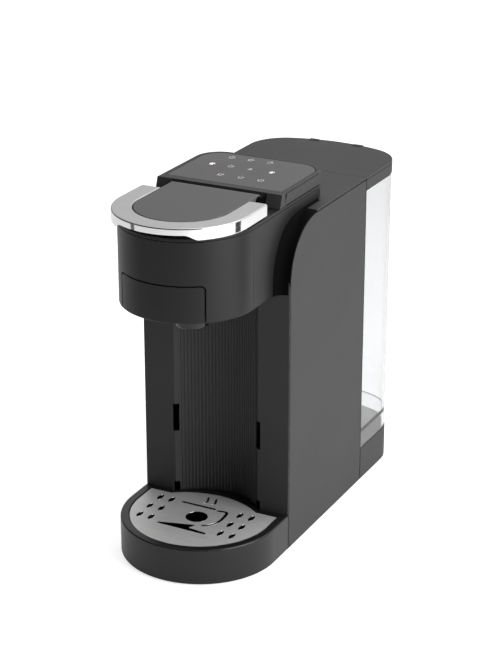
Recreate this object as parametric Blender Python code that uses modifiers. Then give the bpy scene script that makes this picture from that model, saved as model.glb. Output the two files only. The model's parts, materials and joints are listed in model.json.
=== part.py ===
"""Pod coffee machine: a slim single-serve brewer with a rear water tank and a hook-on drip tray.

Metres, +Z up. The front is towards -Y, and the origin is on the floor at the middle of the machine.
Inside the functions, Y = 0 is the front face of the column: one root frame shifts the whole machine
back to its own middle.
"""

import math

import bmesh
import bpy
from mathutils import Matrix, Vector

# --- overall sizes -------------------------------------------------------------------------------
WIDTH = 0.130              # across the side panels, the drip tray and the tank
DECK_Z = 0.274             # flat top behind the head, and the tank lid
BODY_DEPTH = 0.142         # column front face to the tank
TANK_REAR_Y = 0.2276       # the tank's rear at the middle
HANDLE_RADIUS = 0.054      # outer radius of the chrome handle band
HANDLE_AXIS_Y = -0.048     # centre of the handle's front round

# --- general clearances and walls ----------------------------------------------------------------
GAP = 0.0003               # between pieces that touch
RUNNING = 0.0005           # around pieces that slide
SKIN = 0.0016              # front shroud
PANEL_WALL = 0.0025        # side panels
FLOOR_CLEARANCE = 0.001    # lowest edge of the casing above the floor
FOOT_HEIGHT = 0.0027
BASE_THICKNESS = 0.0025

# --- column --------------------------------------------------------------------------------------
ARCH_RADIUS = 0.0475       # from the column's face back to the deck
RECESS_RADIUS = 0.050      # hollow for the cup, seen from above
RECESS_HALF = 0.0375       # half its width at the column's face
RECESS_WALL = 0.002
SLOT_INNER_X = 0.0348
SLOT_WIDTH = 0.005
SLOT_HEIGHT = 0.024
LOW_SLOT_Z = 0.0145
HIGH_SLOT_Z = 0.084
SLOT_DEPTH = 0.009

# --- head ----------------------------------------------------------------------------------------
HEAD_AXIS_Y = -0.0395      # centre of the head's front round
HEAD_DROP = 0.055          # head's lower edge below the deck
HEAD_RISE = 0.0084         # top edge of its shell above the deck
CONSOLE_RISE = 0.0215      # top of the touch console and of the closed lid above the deck
HEAD_WALL = 0.0022
HEAD_REAR_Y = 0.092
HEAD_CORNER = 0.021
HEAD_OPENING_REAR_Y = 0.044
HEAD_PLATE = 0.0022
RING_THICKNESS = 0.0023
BREW_Y = -0.037            # axis of the pod, the funnel and the spout
COVER_HALF = 0.035         # outlined panel on the head's front
COVER_HEIGHT = 0.029
COVER_GAP = 0.0006
COVER_TONGUE_X = 0.021
COVER_TONGUE_WIDTH = 0.006
COVER_TONGUE_LENGTH = 0.018

# --- console -------------------------------------------------------------------------------------
CONSOLE_FRONT_Y = 0.008
CONSOLE_FOOT_Y = 0.003
BAND_THICKNESS = 0.0009
BAND_HEIGHT = 0.0094
BAND_FRONT_Y = 0.0136
CONSOLE_WALL = 0.0022
TOUCH_MARGIN = 0.004       # touch panel's side edge inside the console's
TOUCH_BOARD_MARGIN = 0.010
TOUCH_FRONT_Y = 0.015
TOUCH_REAR_Y = 0.0885
TOUCH_CORNER = 0.018
TOUCH_THICKNESS = 0.0012

# --- lid -----------------------------------------------------------------------------------------
HANDLE_BAND = 0.016        # width of the chrome band
HANDLE_END_Y = -0.016
HANDLE_LIFT = 0.0008       # band above the head's ring
HANDLE_NOTCH_HALF = 0.026
HANDLE_NOTCH_SLOPE = 0.011
HANDLE_NOTCH_HEIGHT = 0.0045
LID_HINGE_RADIUS = 0.0062
LID_EDGE_GAP = 0.0006
LID_WALL = 0.0024
LID_PLATE = 0.0021
HINGE_PIN_RADIUS = 0.0015
EAR_WIDTH = 0.003
EAR_RADIUS = 0.005
EAR_GAP = 0.0004
LATCH_SETBACK = 0.0215     # latch behind the handle's front edge
LATCH_HALF = 0.006

# --- pod chamber ---------------------------------------------------------------------------------
POD_MARGIN = 0.0106        # pod chamber's rim inside the lid's edge
POD_FLANGE = 0.0027
POD_DEPTH = 0.0453
POD_WALL = 0.0015
POD_TAPER = 0.0025
SPOUT_RADIUS = 0.0128
SPOUT_LENGTH = 0.022       # below the head
SPOUT_NECK = 0.008
SPOUT_BORE = 0.0035

# --- tank ----------------------------------------------------------------------------------------
PEDESTAL_Z = 0.0302
TANK_WALL = 0.002
TANK_INSET = 0.0005
TANK_LID_HEIGHT = 0.0111
TANK_FLOOR_Z = 0.047
TANK_FLOOR_THICKNESS = 0.0025
TANK_BOW = 0.130           # radius of the bowed rear
TANK_CORNER = 0.035
TANK_LID_WALL = 0.002
KNUCKLE_X = 0.0205
KNUCKLE_HALF = 0.004
KNUCKLE_RADIUS = 0.0036
KNUCKLE_DROP = 0.0028      # knuckle axis below the lid's top
KNUCKLE_STEM = 0.002
KNUCKLE_CHEEK = 0.0035
TANK_PIN_RADIUS = 0.0011
VALVE_OFFSET = 0.0002      # valve axis behind the tank's middle
VALVE_RADIUS = 0.0069
FEED_Z = 0.015
SEAT_SEAL_Z = 0.0335
SEAT_SEAL_THICKNESS = 0.0018
SEAT_NOZZLE_REACH = 0.014
GLAND_X = -0.034           # gland of the mains lead, in the pedestal's rear
GLAND_Z = 0.016
GLAND_RADIUS = 0.0050
GLAND_SETBACK = 0.0014     # gland's outer end ahead of the tank's rear
GLAND_LENGTH = 0.0137

# --- drip tray -----------------------------------------------------------------------------------
TRAY_AXIS_Y = -0.025
TRAY_TOP_Z = 0.0311
TRAY_FLOOR = 0.003
GRATE_RADIUS = 0.058
GRATE_REAR_Y = -0.005
GRATE_BULGE_HALF = 0.039
GRATE_BULGE = 0.013
GRATE_THICKNESS = 0.0016
GRATE_DROP = 0.0007        # grate top below the tray's rim
GRATE_LEDGE = 0.003
GRATE_HOLE_RADIUS = 0.0088
GRATE_HOLE_Y = -0.0333
LEAF_LENGTH = 0.0095
LEAF_WIDTH = 0.0037
HOOK_WIDTH = 0.004
HOOK_HEIGHT = 0.014
HOOK_LENGTH = 0.0065

# --- inside the body -----------------------------------------------------------------------------
CHASSIS_Y = 0.050
CHASSIS_THICKNESS = 0.0024
CHASSIS_DROP = 0.039       # chassis top below the deck
CHASSIS_MARGIN = 0.005     # chassis side inside the machine's
PUMP_X = -0.036
PUMP_Y = 0.108
PUMP_COIL = 0.034
PUMP_COIL_Z = 0.050
PUMP_COIL_HEIGHT = 0.042
METER_X = 0.012
METER_RADIUS = 0.013
HEATER_X = 0.030
HEATER_Z = 0.100
HEATER_SIZE = (0.048, 0.027, 0.090)
HOSE_RADIUS = 0.003
HOSE_LEAD = 0.002          # straight length of a hose at each port
NOZZLE_RADIUS = 0.0026
SCREW_RADIUS = 0.0015
SCREW_CLEARANCE = 0.0003
SCREW_X = 0.030
SCREW_SETBACK = 0.010      # front screws behind the chassis plate's face
SCREW_REACH = 0.028        # rear screws behind the body
FOOT_RADIUS = 0.0075
FOOT_MARGIN = 0.013        # a foot's axis inside the machine's side
FOOT_STEP = 0.010          # rear feet nearer the middle
FOOT_FRONT_Y = 0.014
FOOT_SETBACK = 0.0296      # rear feet ahead of the tank's rear
FITTING_Y = 0.009

# --- worked out from the above -------------------------------------------------------------------
HALF = WIDTH / 2
TOP_Z = DECK_Z + CONSOLE_RISE
HEAD_HALF = HANDLE_RADIUS
HEAD_BOTTOM_Z = DECK_Z - HEAD_DROP
HEAD_SEAM_Z = DECK_Z + HEAD_RISE
COVER_TOP_Z = HEAD_BOTTOM_Z + COVER_HEIGHT
TOUCH_HALF = HEAD_HALF - TOUCH_MARGIN
TOUCH_BOARD_HALF = TOUCH_HALF - TOUCH_BOARD_MARGIN
SPOUT_TIP_Z = HEAD_BOTTOM_Z - SPOUT_LENGTH
TANK_TOP_Z = DECK_Z - TANK_LID_HEIGHT
VALVE_Y = (BODY_DEPTH + TANK_REAR_Y) / 2 + VALVE_OFFSET
GLAND_OUTER_Y = TANK_REAR_Y - GLAND_SETBACK
GLAND_INNER_Y = GLAND_OUTER_Y - GLAND_LENGTH
CHASSIS_TOP_Z = DECK_Z - CHASSIS_DROP
CHASSIS_HALF = HALF - CHASSIS_MARGIN
FRONT_Y = HANDLE_AXIS_Y - HANDLE_RADIUS
LATCH_Y = FRONT_Y + LATCH_SETBACK
CENTRE_Y = (FRONT_Y + TANK_REAR_Y) / 2
BASE_Z = FOOT_HEIGHT + GAP
BASE_TOP_Z = BASE_Z + BASE_THICKNESS
RECESS_AXIS_Y = -math.sqrt(RECESS_RADIUS ** 2 - RECESS_HALF ** 2)
RECESS_REAR_Y = RECESS_AXIS_Y + RECESS_RADIUS
ARCH_Z = DECK_Z - ARCH_RADIUS
RING_Z = HEAD_SEAM_Z + GAP
RING_TOP_Z = RING_Z + RING_THICKNESS
HEAD_PLATE_TOP_Z = HEAD_BOTTOM_Z + HEAD_PLATE
CONSOLE_Z = RING_TOP_Z + GAP
BODY_REAR_Y = BODY_DEPTH - GAP
PANEL_INNER_X = HALF - PANEL_WALL
INNER_HALF = PANEL_INNER_X - GAP
HINGE_Z = TOP_Z - LID_HINGE_RADIUS
LID_RADIUS = HANDLE_RADIUS - HANDLE_BAND - LID_EDGE_GAP
POD_RADIUS = LID_RADIUS - POD_MARGIN
POD_FOOT_RADIUS = POD_RADIUS - POD_TAPER
LID_PLATE_TOP_Z = HINGE_Z - GAP
LID_PLATE_Z = LID_PLATE_TOP_Z - LID_PLATE
HANDLE_Z = RING_TOP_Z + HANDLE_LIFT
EAR_X = LID_RADIUS + EAR_GAP
POD_FLANGE_TOP_Z = LID_PLATE_Z - GAP
POD_BOTTOM_Z = RING_TOP_Z - POD_DEPTH
GRATE_TOP_Z = TRAY_TOP_Z - GRATE_DROP
GRATE_Z = GRATE_TOP_Z - GRATE_THICKNESS
TANK_Z = PEDESTAL_Z + GAP
TANK_FRONT_Y = BODY_DEPTH + GAP
TANK_UNDER_Z = TANK_FLOOR_Z - TANK_FLOOR_THICKNESS
TANK_LID_Z = TANK_TOP_Z + GAP
CHASSIS_REAR_Y = CHASSIS_Y + CHASSIS_THICKNESS
HEAD_OUTER_BAND = BAND_THICKNESS + GAP
SEAT_SEAL_TOP_Z = SEAT_SEAL_Z + SEAT_SEAL_THICKNESS
SEAT_NOZZLE_Y = VALVE_Y - SEAT_NOZZLE_REACH
METER_INLET_Y = PUMP_Y + METER_RADIUS + 0.003
METER_OUTLET_X = METER_X - METER_RADIUS - 0.004
PUMP_INLET_Z = PUMP_COIL_Z - 0.018
PUMP_OUTLET_Z = PUMP_COIL_Z + PUMP_COIL_HEIGHT + 0.026
FITTING_Z = RING_Z - 0.007
KNUCKLE_Y = TANK_REAR_Y - KNUCKLE_RADIUS
KNUCKLE_Z = DECK_Z - KNUCKLE_DROP
SCREW_FRONT_Y = CHASSIS_Y + SCREW_SETBACK
SCREW_REAR_Y = BODY_DEPTH + SCREW_REACH
SCREW_SPOTS = {"front_left": (-SCREW_X, SCREW_FRONT_Y), "front_right": (SCREW_X, SCREW_FRONT_Y),
               "rear_left": (-SCREW_X, SCREW_REAR_Y), "rear_right": (SCREW_X, SCREW_REAR_Y)}
FOOT_FRONT_X = HALF - FOOT_MARGIN
FOOT_REAR_X = FOOT_FRONT_X - FOOT_STEP
FOOT_REAR_Y = TANK_REAR_Y - FOOT_SETBACK
FOOT_SPOTS = {"front_left": (-FOOT_FRONT_X, FOOT_FRONT_Y),
              "front_right": (FOOT_FRONT_X, FOOT_FRONT_Y),
              "rear_left": (-FOOT_REAR_X, FOOT_REAR_Y), "rear_right": (FOOT_REAR_X, FOOT_REAR_Y)}

ROUND = 40                 # facets round a large circle
SMALL_ROUND = 20
TINY_ROUND = 12
MERGE = 0.00001            # vertices closer than this are one

AXIS_TURN = {
    "Z": Matrix.Identity(4),
    "X": Matrix(((0, 0, 1, 0), (1, 0, 0, 0), (0, 1, 0, 0), (0, 0, 0, 1))),
    "Y": Matrix(((1, 0, 0, 0), (0, 0, -1, 0), (0, 1, 0, 0), (0, 0, 0, 1))),
}


# --- scene, collections and materials ------------------------------------------------------------
def clear_scene():
    """Remove the scene's objects, so that the script can be run again."""
    for scene_object in list(bpy.data.objects):
        bpy.data.objects.remove(scene_object)


def new_collection(name):
    """Make a collection and link it to the scene."""
    collection = bpy.data.collections.new(name)
    bpy.context.scene.collection.children.link(collection)
    return collection


def new_material(name, colour, roughness, metallic=0.0, alpha=1.0):
    """Make a Principled material from a plain colour."""
    made = bpy.data.materials.new(name)
    made.use_nodes = True
    shader = made.node_tree.nodes["Principled BSDF"]
    shader.inputs["Base Color"].default_value = (*colour, 1.0)
    shader.inputs["Roughness"].default_value = roughness
    shader.inputs["Metallic"].default_value = metallic
    shader.inputs["Alpha"].default_value = alpha
    made.diffuse_color = (*colour, alpha)
    return made


class Workshop:
    """The collections, the joint frames and the materials that the pieces share."""

    def __init__(self):
        self.parts = new_collection("pod_coffee_machine")
        self.cutters = new_collection("cutters")
        self.root = self.new_frame("machine", (0, 0, 0))
        self.root.location = (0, -CENTRE_Y, 0)
        self.materials = {
            "casing": new_material("casing", (0.045, 0.045, 0.047), 0.55),
            "dark_casing": new_material("dark_casing", (0.018, 0.018, 0.019), 0.5),
            "satin_steel": new_material("satin_steel", (0.55, 0.55, 0.56), 0.35, 1.0),
            "chrome": new_material("chrome", (0.85, 0.85, 0.86), 0.08, 1.0),
            "panel_gloss": new_material("panel_gloss", (0.02, 0.02, 0.022), 0.2),
            "clear_tank": new_material("clear_tank", (0.9, 0.92, 0.93), 0.05, 0.0, 0.3),
            "rubber": new_material("rubber", (0.02, 0.02, 0.02), 0.8),
            "silicone": new_material("silicone", (0.75, 0.75, 0.72), 0.5),
            "white_plastic": new_material("white_plastic", (0.8, 0.8, 0.78), 0.5),
            "brass": new_material("brass", (0.7, 0.52, 0.25), 0.3, 1.0),
            "aluminium": new_material("aluminium", (0.7, 0.7, 0.71), 0.4, 1.0),
            "circuit_board": new_material("circuit_board", (0.02, 0.16, 0.06), 0.5),
        }

    def new_frame(self, name, pivot, parent=None):
        """Add an empty on a joint's axis, in the machine's own coordinates."""
        frame = bpy.data.objects.new(name, None)
        frame["pivot"] = pivot
        bpy.context.scene.collection.objects.link(frame)
        if parent is not None:
            frame.parent = parent
            frame.location = Vector(pivot) - Vector(parent["pivot"])
        return frame

    def finish(self, piece, material, frame=None):
        """Give a piece its material and hang it, with its cutters, on a frame."""
        frame = frame or self.root
        piece.data.materials.clear()
        piece.data.materials.append(self.materials[material])
        piece.data.shade_smooth()
        piece.data.set_sharp_from_angle(angle=math.radians(30))
        self.hang(piece, frame)
        return piece

    def hang(self, piece, frame):
        """Parent a piece and everything its Booleans read, leaving them where they are."""
        if piece.parent is not None:
            return
        piece.parent = frame
        piece.location = piece.location - Vector(frame["pivot"])
        for modifier in piece.modifiers:
            if modifier.type == "BOOLEAN":
                self.hang(modifier.object, frame)


SHOP = None


# --- shapes --------------------------------------------------------------------------------------
def arc(centre_a, centre_b, radius, start, end, steps):
    """Points on an arc, with its angles in degrees."""
    points = []
    for step in range(steps + 1):
        angle = math.radians(start + (end - start) * step / steps)
        points.append((centre_a + radius * math.cos(angle), centre_b + radius * math.sin(angle)))
    return points


def rectangle(low_a, high_a, low_b, high_b):
    """The four corners of a rectangle."""
    return [(low_a, low_b), (high_a, low_b), (high_a, high_b), (low_a, high_b)]


def link_piece(name, mesh):
    """Make an object from a mesh and link it to the parts."""
    made = bpy.data.objects.new(name, mesh)
    SHOP.parts.objects.link(made)
    return made


def mesh_piece(name, build):
    """Make a piece from a function that fills a bmesh."""
    mesh = bpy.data.meshes.new(name)
    work = bmesh.new()
    build(work)
    bmesh.ops.recalc_face_normals(work, faces=work.faces)
    work.to_mesh(mesh)
    work.free()
    return link_piece(name, mesh)


def box(name, low, high):
    """A block between two corners."""
    size = Vector(high) - Vector(low)
    middle = (Vector(high) + Vector(low)) / 2

    def build(work):
        placed = Matrix.Translation(middle) @ Matrix.Diagonal((*size, 1))
        bmesh.ops.create_cube(work, size=1, matrix=placed)

    return mesh_piece(name, build)


def cylinder(name, centre, radius, low, high, axis="Z", facets=SMALL_ROUND):
    """A cylinder from low to high along an axis; centre gives the other two places."""
    length = high - low
    middle = (low + high) / 2
    if axis == "X":
        place = Matrix.Translation((middle, centre[0], centre[1]))
        turn = Matrix.Rotation(math.pi / 2, 4, "Y")
    elif axis == "Y":
        place = Matrix.Translation((centre[0], middle, centre[1]))
        turn = Matrix.Rotation(-math.pi / 2, 4, "X")
    else:
        place = Matrix.Translation((centre[0], centre[1], middle))
        turn = Matrix.Identity(4)

    def build(work):
        bmesh.ops.create_cone(work, cap_ends=True, segments=facets, radius1=radius,
                              radius2=radius, depth=length, matrix=place @ turn)

    return mesh_piece(name, build)


def curve_to_mesh(name, curve_object):
    """Turn a curve object into a welded mesh object in its place."""
    bpy.context.scene.collection.objects.link(curve_object)
    bpy.context.view_layer.update()
    depsgraph = bpy.context.evaluated_depsgraph_get()
    mesh = bpy.data.meshes.new_from_object(curve_object.evaluated_get(depsgraph))
    work = bmesh.new()
    work.from_mesh(mesh)
    bmesh.ops.remove_doubles(work, verts=work.verts, dist=MERGE / 10)
    bmesh.ops.recalc_face_normals(work, faces=work.faces)
    work.to_mesh(mesh)
    work.free()
    made = link_piece(name, mesh)
    made.matrix_world = curve_object.matrix_world.copy()
    bpy.data.objects.remove(curve_object)
    return made


def prism(name, outlines, low, high, axis="Z"):
    """A flat outline, with any holes in it, drawn out from low to high along an axis."""
    curve = bpy.data.curves.new(name + "_outline", "CURVE")
    curve.dimensions = "2D"
    curve.fill_mode = "BOTH"
    curve.extrude = (high - low) / 2
    for outline in outlines:
        spline = curve.splines.new("POLY")
        spline.points.add(len(outline) - 1)
        for point, (a, b) in zip(spline.points, outline):
            point.co = (a, b, 0, 1)
        spline.use_cyclic_u = True
    made = bpy.data.objects.new(name + "_outline", curve)
    middle = (low + high) / 2
    if axis == "Y":
        middle = -middle
    made.matrix_world = AXIS_TURN[axis] @ Matrix.Translation((0, 0, middle))
    return curve_to_mesh(name, made)


def turned(name, profile, centre=(0.0, 0.0), facets=SMALL_ROUND, closed=True):
    """A turned piece: (radius, height) points down the outer side, round a vertical axis."""
    mesh = bpy.data.meshes.new(name)
    edges = [(i, i + 1) for i in range(len(profile) - 1)]
    if closed:
        edges.append((len(profile) - 1, 0))
    mesh.from_pydata([(radius, 0, height) for radius, height in profile], edges, [])
    made = link_piece(name, mesh)
    made.location = (centre[0], centre[1], 0)
    screw = made.modifiers.new("turn", "SCREW")
    screw.steps = facets
    screw.render_steps = facets
    screw.use_merge_vertices = True
    screw.merge_threshold = MERGE
    return made


def smooth_route(points, steps):
    """A smooth curve through the route's own points, straight where it meets a port."""
    ends = [Vector(points[0]), Vector(points[-1])]
    route = [Vector(point) for point in points]
    route[0] += (route[1] - route[0]).normalized() * HOSE_LEAD
    route[-1] += (route[-2] - route[-1]).normalized() * HOSE_LEAD
    route = [2 * route[0] - route[1]] + route + [2 * route[-1] - route[-2]]
    smooth = [ends[0]]
    for i in range(1, len(route) - 2):
        before, start, end, after = route[i - 1:i + 3]
        for step in range(steps):
            t = step / steps
            smooth.append(0.5 * (2 * start + (end - before) * t
                                 + (2 * before - 5 * start + 4 * end - after) * t ** 2
                                 + (3 * start - before - 3 * end + after) * t ** 3))
    return smooth + [route[-2], ends[1]]


def tube(name, points, radius):
    """A round tube along a list of points, with closed ends."""
    curve = bpy.data.curves.new(name + "_path", "CURVE")
    curve.dimensions = "3D"
    curve.bevel_depth = radius
    curve.bevel_resolution = 2
    curve.use_fill_caps = True
    spline = curve.splines.new("POLY")
    spline.points.add(len(points) - 1)
    for point, place in zip(spline.points, points):
        point.co = (*place, 1)
    return curve_to_mesh(name, bpy.data.objects.new(name + "_path", curve))


def boolean(piece, tool, operation):
    """Cut a piece with a tool, or join the tool to it; the tool becomes a cutter."""
    modifier = piece.modifiers.new(tool.name, "BOOLEAN")
    modifier.operation = operation
    modifier.object = tool
    if tool.name in SHOP.parts.objects:
        SHOP.parts.objects.unlink(tool)
        SHOP.cutters.objects.link(tool)
    tool.hide_render = True
    tool.display_type = "WIRE"
    return piece


def cut(piece, *tools):
    """Cut each tool out of the piece."""
    for tool in tools:
        boolean(piece, tool, "DIFFERENCE")
    return piece


def join(piece, *tools):
    """Make the piece and each tool one solid."""
    for tool in tools:
        boolean(piece, tool, "UNION")
    return piece


# --- outlines that several pieces share ----------------------------------------------------------
def side_profile(inset, rear_y, low_z):
    """The body seen from the side, in Y and Z: column face, arch and deck."""
    radius = ARCH_RADIUS - inset
    curve = arc(ARCH_RADIUS, ARCH_Z, radius, 90, 180, ROUND // 4)
    return [(inset, low_z), (rear_y, low_z), (rear_y, DECK_Z - inset)] + curve


def tank_outline(inset, front_y):
    """The tank, its lid and the pedestal from above: straight sides and a bowed rear."""
    bow = TANK_BOW - inset
    corner = TANK_CORNER - inset
    bow_y = TANK_REAR_Y - TANK_BOW
    corner_x = HALF - TANK_CORNER
    reach = TANK_BOW - TANK_CORNER
    corner_y = bow_y + math.sqrt(reach ** 2 - corner_x ** 2)
    meet = math.degrees(math.acos(corner_x / reach))
    right = arc(corner_x, corner_y, corner, 0, meet, 7)
    rear = arc(0, bow_y, bow, meet, 180 - meet, 8)
    left = arc(-corner_x, corner_y, corner, 180 - meet, 180, 7)
    return [(-HALF + inset, front_y), (HALF - inset, front_y)] + right + rear[1:-1] + left


def head_outline(inset):
    """The head and the console base from above: round front, rounded rear corners."""
    half = HEAD_HALF - inset
    corner = HEAD_CORNER - inset
    corner_x = HEAD_HALF - HEAD_CORNER
    corner_y = HEAD_REAR_Y - HEAD_CORNER
    front = arc(0, HEAD_AXIS_Y, half, 180, 360, ROUND)
    right = arc(corner_x, corner_y, corner, 0, 90, 6)
    left = arc(-corner_x, corner_y, corner, 90, 180, 6)
    return front + right + left


def d_outline(half, axis_y, rear_y, steps=ROUND):
    """A D from above: round at the front and straight across the rear."""
    return arc(0, axis_y, half, 180, 360, steps) + [(half, rear_y), (-half, rear_y)]


def bulged_outline(half, axis_y, rear_y, bulge_y, bulge_radius):
    """A D whose straight rear bulges back in the middle, round a centre at bulge_y."""
    meet = math.degrees(math.asin((rear_y - bulge_y) / bulge_radius))
    front = arc(0, axis_y, half, 180, 360, ROUND)
    bulge = arc(0, bulge_y, bulge_radius, meet, 180 - meet, 14)
    return front + [(half, rear_y)] + bulge + [(-half, rear_y)]


def grate_outline(grow):
    """The grate from above; a positive growth gives its pocket, a negative one the well."""
    bulge_radius = (GRATE_BULGE_HALF ** 2 + GRATE_BULGE ** 2) / (2 * GRATE_BULGE)
    bulge_y = GRATE_REAR_Y + GRATE_BULGE - bulge_radius
    return bulged_outline(GRATE_RADIUS + grow, TRAY_AXIS_Y, GRATE_REAR_Y + grow, bulge_y,
                          bulge_radius + grow)


def touch_outline(grow):
    """The touch panel from above, with rounded rear corners."""
    half = TOUCH_HALF + grow
    rear = TOUCH_REAR_Y + grow
    corner = TOUCH_CORNER + grow
    right = arc(half - corner, rear - corner, corner, 0, 90, 6)
    left = arc(corner - half, rear - corner, corner, 90, 180, 6)
    return [(-half, TOUCH_FRONT_Y - grow), (half, TOUCH_FRONT_Y - grow)] + right + left


# --- casing --------------------------------------------------------------------------------------
def make_front_shroud():
    """Column face, arch and deck in one sheet, with the round hollow for the cup."""
    outer = side_profile(0, BODY_REAR_Y, FLOOR_CLEARANCE)
    inner = side_profile(SKIN, BODY_REAR_Y, FLOOR_CLEARANCE)
    sheet = [outer[0]] + outer[:2:-1] + [outer[2], inner[2]] + inner[3:] + [inner[0]]
    shroud = prism("front_shroud", [sheet], -HALF, HALF, "X")
    wall_radius = RECESS_RADIUS + RECESS_WALL
    meet = math.degrees(math.asin((SKIN / 2 - RECESS_AXIS_Y) / wall_radius))
    segment = arc(0, RECESS_AXIS_Y, wall_radius, meet, 180 - meet, 20)
    wall = prism("recess_wall_block", [segment], FLOOR_CLEARANCE, HEAD_PLATE_TOP_Z)
    hollow = cylinder("recess_cutter", (0, RECESS_AXIS_Y), RECESS_RADIUS, -0.001,
                      HEAD_PLATE_TOP_Z + 0.004, facets=2 * ROUND)
    opening_half = HEAD_HALF - HEAD_WALL
    opening = box("head_opening_cutter", (-opening_half, -0.005, HEAD_BOTTOM_Z - GAP),
                  (opening_half, HEAD_OPENING_REAR_Y, TOP_Z))
    join(shroud, wall)
    cut(shroud, hollow, opening, *slot_cutters())
    SHOP.finish(shroud, "dark_casing")


def slot_cutters():
    """Two rows of hook slots beside the ribbed hollow."""
    tools = []
    for row, low_z in (("low", LOW_SLOT_Z), ("high", HIGH_SLOT_Z)):
        for side, sign in (("left", -1), ("right", 1)):
            near, far = sorted((sign * SLOT_INNER_X, sign * (SLOT_INNER_X + SLOT_WIDTH)))
            tools.append(box(f"{row}_{side}_slot_cutter", (near, -0.003, low_z),
                             (far, SLOT_DEPTH, low_z + SLOT_HEIGHT)))
    return tools


def make_side_panel(name, sign):
    """A flat side cover that ends under the edge of the shroud."""
    outline = side_profile(SKIN + GAP, BODY_REAR_Y, FLOOR_CLEARANCE)
    near, far = sorted((sign * PANEL_INNER_X, sign * HALF))
    SHOP.finish(prism(name, [outline], near, far, "X"), "casing")


def make_base_plate():
    """The floor of the body and of the tank pedestal."""
    inset = PANEL_WALL + GAP
    outline = tank_outline(inset, SKIN + GAP)
    holes = [arc(x, y, SCREW_RADIUS + SCREW_CLEARANCE, 0, 330, 11) for x, y in SCREW_SPOTS.values()]
    plate = prism("base_plate", [outline] + holes, BASE_Z, BASE_TOP_Z)
    hollow = cylinder("base_recess_cutter", (0, RECESS_AXIS_Y), RECESS_RADIUS + RECESS_WALL + GAP,
                      BASE_Z - 0.002, BASE_TOP_Z + 0.002, facets=2 * ROUND)
    cut(plate, hollow)
    SHOP.finish(plate, "dark_casing")


def make_tank_bay_wall():
    """The body's rear wall, with a hole for the feed hose."""
    hose_hole = arc(0, FEED_Z, HOSE_RADIUS + RUNNING, 0, 345, 15)
    outline = rectangle(-INNER_HALF, INNER_HALF, BASE_TOP_Z + GAP, DECK_Z - SKIN - GAP)
    wall = prism("tank_bay_wall", [outline, hose_hole], BODY_REAR_Y - PANEL_WALL, BODY_REAR_Y, "Y")
    SHOP.finish(wall, "dark_casing")


def make_tank_pedestal():
    """The foot that the tank stands on: a shell open below and towards the body."""
    pedestal = prism("tank_pedestal", [tank_outline(0, TANK_FRONT_Y)], FLOOR_CLEARANCE, PEDESTAL_Z)
    inside = prism("pedestal_inside_cutter", [tank_outline(PANEL_WALL, BODY_DEPTH - 0.01)],
                   -0.001, PEDESTAL_Z - PANEL_WALL)
    seat_hole = cylinder("pedestal_seat_cutter", (0, VALVE_Y), 0.0099, PEDESTAL_Z - 0.005,
                         PEDESTAL_Z + 0.002)
    gland_hole = cylinder("pedestal_gland_cutter", (GLAND_X, GLAND_Z), GLAND_RADIUS + GAP,
                          GLAND_INNER_Y, TANK_REAR_Y + 0.01, "Y")
    cut(pedestal, inside)
    for side in ("left", "right"):
        x, y = SCREW_SPOTS["rear_" + side]
        boss = cylinder(f"pedestal_{side}_boss", (x, y), 0.0045, BASE_TOP_Z + GAP,
                        PEDESTAL_Z - 0.001)
        bore = cylinder(f"pedestal_{side}_bore", (x, y), SCREW_RADIUS + SCREW_CLEARANCE,
                        BASE_TOP_Z - 0.001, 0.015, facets=TINY_ROUND)
        join(pedestal, boss)
        cut(pedestal, bore)
    cut(pedestal, seat_hole, gland_hole)
    SHOP.finish(pedestal, "casing")


def make_head_shell():
    """The head's upright wall, cut away where the arch and the deck pass through it."""
    shell = prism("head_shell", [head_outline(0), head_outline(HEAD_WALL)], HEAD_BOTTOM_Z,
                  HEAD_SEAM_Z)
    rear = TANK_REAR_Y
    curve = arc(ARCH_RADIUS, ARCH_Z, ARCH_RADIUS + GAP, 90, 180, ROUND // 4)
    envelope = [(-GAP, 0.1), (rear, 0.1), (rear, DECK_Z + GAP)] + curve
    body = prism("body_envelope_cutter", [envelope], -HALF - 0.01, HALF + 0.01, "X")
    reach = COVER_HALF + COVER_GAP
    window = box("cover_window_cutter", (-reach, HEAD_AXIS_Y - HEAD_HALF - 0.01,
                                         HEAD_BOTTOM_Z - 0.005),
                 (reach, HEAD_AXIS_Y - 0.01, COVER_TOP_Z + COVER_GAP))
    cut(shell, body, window)
    SHOP.finish(shell, "dark_casing")


def make_head_bottom():
    """The plate under the head, with the hole for the spout's neck."""
    outline = d_outline(HEAD_HALF - HEAD_WALL - GAP, HEAD_AXIS_Y, RECESS_REAR_Y + RECESS_WALL)
    neck_hole = arc(0, BREW_Y, SPOUT_NECK + GAP, 0, 345, 23)
    plate = prism("head_bottom", [outline, neck_hole], HEAD_BOTTOM_Z, HEAD_PLATE_TOP_Z)
    SHOP.finish(plate, "dark_casing")


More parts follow.
